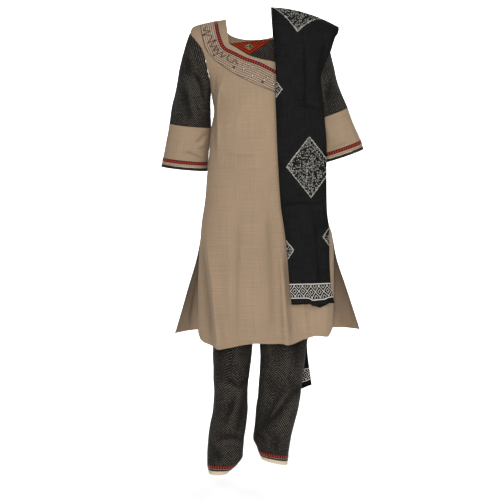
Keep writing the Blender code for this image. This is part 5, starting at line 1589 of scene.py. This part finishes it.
def stitches(name, line, length, gap, finish, radius=0.3):
    """Running stitches along a line of points."""
    steps = np.linalg.norm(np.diff(line, axis=0), axis=1)
    run = np.concatenate([[0.0], np.cumsum(steps)])
    places = []
    for start in np.arange(gap, run[-1] - length, length + gap):
        marks = (start, start + length / 2, start + length)
        places.append([np.array([np.interp(mark, run, line[:, k]) for k in range(3)]) for mark in marks])
    return thread(name, places, radius, finish)


def hem_line(point, levels, hem):
    """A line over a body panel a hem's width above its lower edge."""
    across = mix(0.04, 0.96, spread(240))
    z = smooth_read(hem, "across", "z", across) + HEM_WIDTH
    left, right = panel_edges(levels, z)
    return point(mix(left, right, across), z, 0.15)


def ring_on_front(spot, radius, out):
    """A small circle over the front."""
    angle = np.arange(14) / 14 * 2 * math.pi
    return front_point(spot.x + radius * np.cos(angle), spot.z + radius * np.sin(angle), out)


def make_strip_bead(finish):
    """The dark bead sewn on the left leg's border strip."""
    turn = np.linspace(0.02, 0.5, 200)[None, :]
    line = leg_points(LEG_LEFT_RINGS, LEG_LEFT_CREASES, 1, turn, np.full((1, 1), BEAD_ON_STRIP.z), 1.2, 1)[0]
    middle = line[np.argmin(np.abs(line[:, 0] - BEAD_ON_STRIP.x))]
    bm = bmesh.new()
    bmesh.ops.create_uvsphere(bm, u_segments=16, v_segments=10, radius=4.2 * MM)
    bmesh.ops.scale(bm, vec=(1, 0.6, 1), verts=bm.verts)
    bmesh.ops.translate(bm, vec=Vector(middle * MM), verts=bm.verts)
    return add_piece("strip_bead", bm, finish, 0)


def make_stage():
    """A pale floor that turns up into a plain backdrop."""
    bm = bmesh.new()
    bmesh.ops.create_grid(bm, x_segments=2, y_segments=60, size=0.5)
    for vert in bm.verts:
        run = (vert.co.y + 0.5) * FLOOR_REACH + FLOOR_NEAR_Y
        vert.co.x *= FLOOR_WIDTH
        bend = max(0.0, run - COVE_Y)
        angle = min(math.pi / 2, bend / COVE_RADIUS)
        vert.co.y = min(run, COVE_Y) + COVE_RADIUS * math.sin(angle)
        wall = max(0.0, bend - COVE_RADIUS * math.pi / 2)
        vert.co.z = FLOOR_Z + COVE_RADIUS * (1 - math.cos(angle)) + wall
    floor = add_piece("studio_floor", bm, plain_finish("studio_floor", (0.9, 0.9, 0.9), 0.9, fleck=0.01), 0)


def add_light(row):
    """A round studio light that looks at its aim."""
    lamp = bpy.data.lights.new(row.name, "AREA")
    lamp.shape = "DISK"
    lamp.size = row.size
    lamp.energy = row.power
    light = bpy.data.objects.new(row.name, lamp)
    light.location = row.place
    light.rotation_euler = (Vector(row.aim) - Vector(row.place)).to_track_quat("-Z", "Y").to_euler()
    bpy.context.scene.collection.objects.link(light)


def make_sky():
    """Even white light from all round."""
    world = bpy.data.worlds.new("studio")
    world.use_nodes = True
    world.node_tree.nodes["Background"].inputs["Color"].default_value = (1.0, 1.0, 1.0, 1.0)
    world.node_tree.nodes["Background"].inputs["Strength"].default_value = SKY_STRENGTH
    bpy.context.scene.world = world


def make_camera():
    """Level with the middle of the suit, straight in front of it."""
    camera = bpy.data.cameras.new("camera")
    camera.lens = CAMERA_LENS
    camera.sensor_width = 36.0
    view = bpy.data.objects.new("camera", camera)
    view.location = CAMERA_PLACE
    view.rotation_euler = (math.pi / 2, 0.0, 0.0)
    bpy.context.scene.collection.objects.link(view)
    bpy.context.scene.camera = view


make_camera()
finishes = {
    "beige": beige_finish(),
    "dark_print": dark_print_finish(),
    "ribbon": ribbon_finish(),
    "band": band_finish(),
    "patch": patch_finish(),
    "cream": beige_finish("cream_border_cotton", CREAM),
    "cream_thread": plain_finish("cream_thread", (0.50, 0.40, 0.29), 0.8),
    "brown_thread": plain_finish("brown_thread", (0.055, 0.022, 0.013), 0.7),
    "tan_thread": plain_finish("tan_thread", (0.21, 0.125, 0.06), 0.7),
    "beige_thread": plain_finish("beige_thread", (0.27, 0.19, 0.12), 0.8),
    "dark_bead": plain_finish("dark_bead", (0.035, 0.006, 0.005), 0.3, coat=0.3),
    "mirror": plain_finish("small_mirror", (0.50, 0.49, 0.45), 0.3, metallic=0.5, fleck=0.03),
}

front = make_kameez_front(finishes["beige"])
back = make_kameez_back(finishes["beige"])
yoke = make_kameez_yoke(finishes["dark_print"])
patch = make_yoke_patch(finishes["patch"])
ribbon, ribbon_edges = make_neck_ribbon(finishes["ribbon"])
band = make_embroidered_band(finishes["band"])
sleeve_right, cuff_right, piping_right, cuff_ribbon_right, cuff_cords_right = make_sleeve(
    "right", SLEEVE_RIGHT_RINGS, CUFF_RIGHT_RINGS, SLEEVE_RIGHT_CREASES, CUFF_RIGHT_CREASES, -1, finishes)
sleeve_left, cuff_left, piping_left, cuff_ribbon_left, cuff_cords_left = make_sleeve(
    "left", SLEEVE_LEFT_RINGS, CUFF_LEFT_RINGS, SLEEVE_LEFT_CREASES, CUFF_LEFT_CREASES, 1, finishes)
leg_right, strip_right, leg_ribbon_right, leg_cords_right = make_leg(
    "right", LEG_RIGHT_RINGS, LEG_RIGHT_CREASES, -1, finishes)
leg_left, strip_left, leg_ribbon_left, leg_cords_left = make_leg(
    "left", LEG_LEFT_RINGS, LEG_LEFT_CREASES, 1, finishes)
waistband = make_waistband(finishes["dark_print"])
dupatta, dupatta_length = make_dupatta(finishes["dark_print"])
dupatta.data.materials[0] = dupatta_finish(dupatta_length)

needle_out = TRIM_OUT + 0.35
ribbon_cords = thread("neck_cords", ribbon_edges, 0.45, finishes["cream_thread"])
zigzag = thread("zigzag_stitch", [on_front(ZIGZAG_STITCH, needle_out, 5)], 1.4, finishes["brown_thread"])
scroll = thread("scroll_stitch", [on_front(SCROLL_STITCH, needle_out, 4)], 1.5, finishes["brown_thread"])
scrolls = thread("small_scrolls", [spiral(spot, 4.4, 1.3, needle_out, 2.4) for spot in SMALL_SCROLLS],
                 0.5, finishes["tan_thread"])
band_line = front_point(*band_spot(spread(150) ** 1.1, 1.0), TRIM_OUT)
band_edge = thread("band_edge", [band_line], 0.8, finishes["brown_thread"])
beads = make_beads("dark_beads", DARK_BEADS, 4.0, TRIM_OUT + 0.6, finishes["dark_bead"], 0.5)
mirrors = make_beads("small_mirrors", SMALL_MIRRORS, 2.4, TRIM_OUT + 0.9, finishes["mirror"], 0.3)
mirror_rims = thread("mirror_rims", [ring_on_front(spot, 3.0, needle_out) for spot in SMALL_MIRRORS], 0.7,
                     finishes["brown_thread"], closed=True)
strip_bead = make_strip_bead(finishes["dark_bead"])
front_hem = stitches("front_hem_stitches", hem_line(front_point, FRONT_LEVELS, FRONT_HEM), 2.6, 1.6,
                     finishes["beige_thread"])
back_hem = stitches("back_hem_stitches", hem_line(back_point, BACK_LEVELS, BACK_HEM), 2.6, 1.6,
                    finishes["beige_thread"])

# What each piece was cut to: its width and length in metres, and its area where it isn't a rectangle.
CUTS = [
    Cut(front, ["kameez_front"], "beige_cotton", (0.60, 1.04), 0.45, "hung", ["kameez_back"],
        [front_hem]),
    Cut(back, ["kameez_back"], "beige_cotton", (0.74, 1.00), 0.49, "hung", ["kameez_front"], [back_hem]),
    Cut(yoke, ["kameez_yoke"], "dark_print_cotton", (0.30, 0.21), 0.034, "hung", ["kameez_front"], []),
    Cut(patch, ["yoke_patch"], "red_patch", (0.125, 0.050), 0.0031, "laid", ["kameez_yoke"], []),
    Cut(ribbon, ["neck_ribbon"], "maroon_ribbon", (0.012, 0.40), None, "laid", ["kameez_front"],
        [ribbon_cords]),
    Cut(band, ["embroidered_band"], "kantha_band", (0.056, 0.43), 0.021, "laid", ["kameez_front"],
        [zigzag, scroll, scrolls, band_edge, beads, mirrors, mirror_rims]),
    Cut(sleeve_right, ["sleeve_right"], "dark_print_cotton", (0.53, 0.29), 0.085, "hung",
        ["kameez_front", "kameez_back"], []),
    Cut(sleeve_left, ["sleeve_left"], "dark_print_cotton", (0.53, 0.26), 0.072, "hung",
        ["kameez_front", "kameez_back"], []),
    Cut(cuff_right, ["cuff_right"], "beige_cotton", (0.43, 0.13), None, "hung", ["sleeve_right"], []),
    Cut(cuff_left, ["cuff_left"], "beige_cotton", (0.43, 0.13), None, "hung", ["sleeve_left"], []),
    Cut(piping_right, ["cuff_piping_right"], "dark_print_cotton", (0.43, 0.010), None, "hung",
        ["cuff_right"], []),
    Cut(piping_left, ["cuff_piping_left"], "dark_print_cotton", (0.43, 0.010), None, "hung",
        ["cuff_left"], []),
    Cut(cuff_ribbon_right, ["cuff_ribbon_right"], "maroon_ribbon", (0.43, 0.012), None, "laid",
        ["cuff_right"], [cuff_cords_right]),
    Cut(cuff_ribbon_left, ["cuff_ribbon_left"], "maroon_ribbon", (0.43, 0.012), None, "laid",
        ["cuff_left"], [cuff_cords_left]),
    Cut(leg_right, ["salwar_leg_right"], "dark_print_cotton", (0.63, 1.00), 0.44, "hung",
        ["salwar_waistband"], []),
    Cut(leg_left, ["salwar_leg_left"], "dark_print_cotton", (0.65, 0.96), 0.445, "hung",
        ["salwar_waistband"], []),
    Cut(strip_right, ["leg_border_right"], "cream_border", (0.34, 0.011), None, "hung",
        ["salwar_leg_right"], []),
    Cut(strip_left, ["leg_border_left"], "cream_border", (0.32, 0.011), None, "hung",
        ["salwar_leg_left"], [strip_bead]),
    Cut(leg_ribbon_right, ["leg_ribbon_right"], "maroon_ribbon", (0.34, 0.012), None, "laid",
        ["salwar_leg_right"], [leg_cords_right]),
    Cut(leg_ribbon_left, ["leg_ribbon_left"], "maroon_ribbon", (0.34, 0.012), None, "laid",
        ["salwar_leg_left"], [leg_cords_left]),
    Cut(waistband, ["salwar_waistband"], "dark_print_cotton", (1.05, 0.034), None, "gathered",
        ["salwar_leg_right", "salwar_leg_left"], []),
    Cut(dupatta, ["dupatta_front", "dupatta_back"], "black_dupatta_cotton", (0.93, 2.15), None, "folded",
        ["kameez_front", "kameez_back", "kameez_yoke"], []),
]
for cut in CUTS:
    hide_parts(*cut.nodes)

make_stage()
for row in LIGHTS:
    add_light(row)
make_sky()
bpy.context.scene.view_settings.view_transform = "Standard"
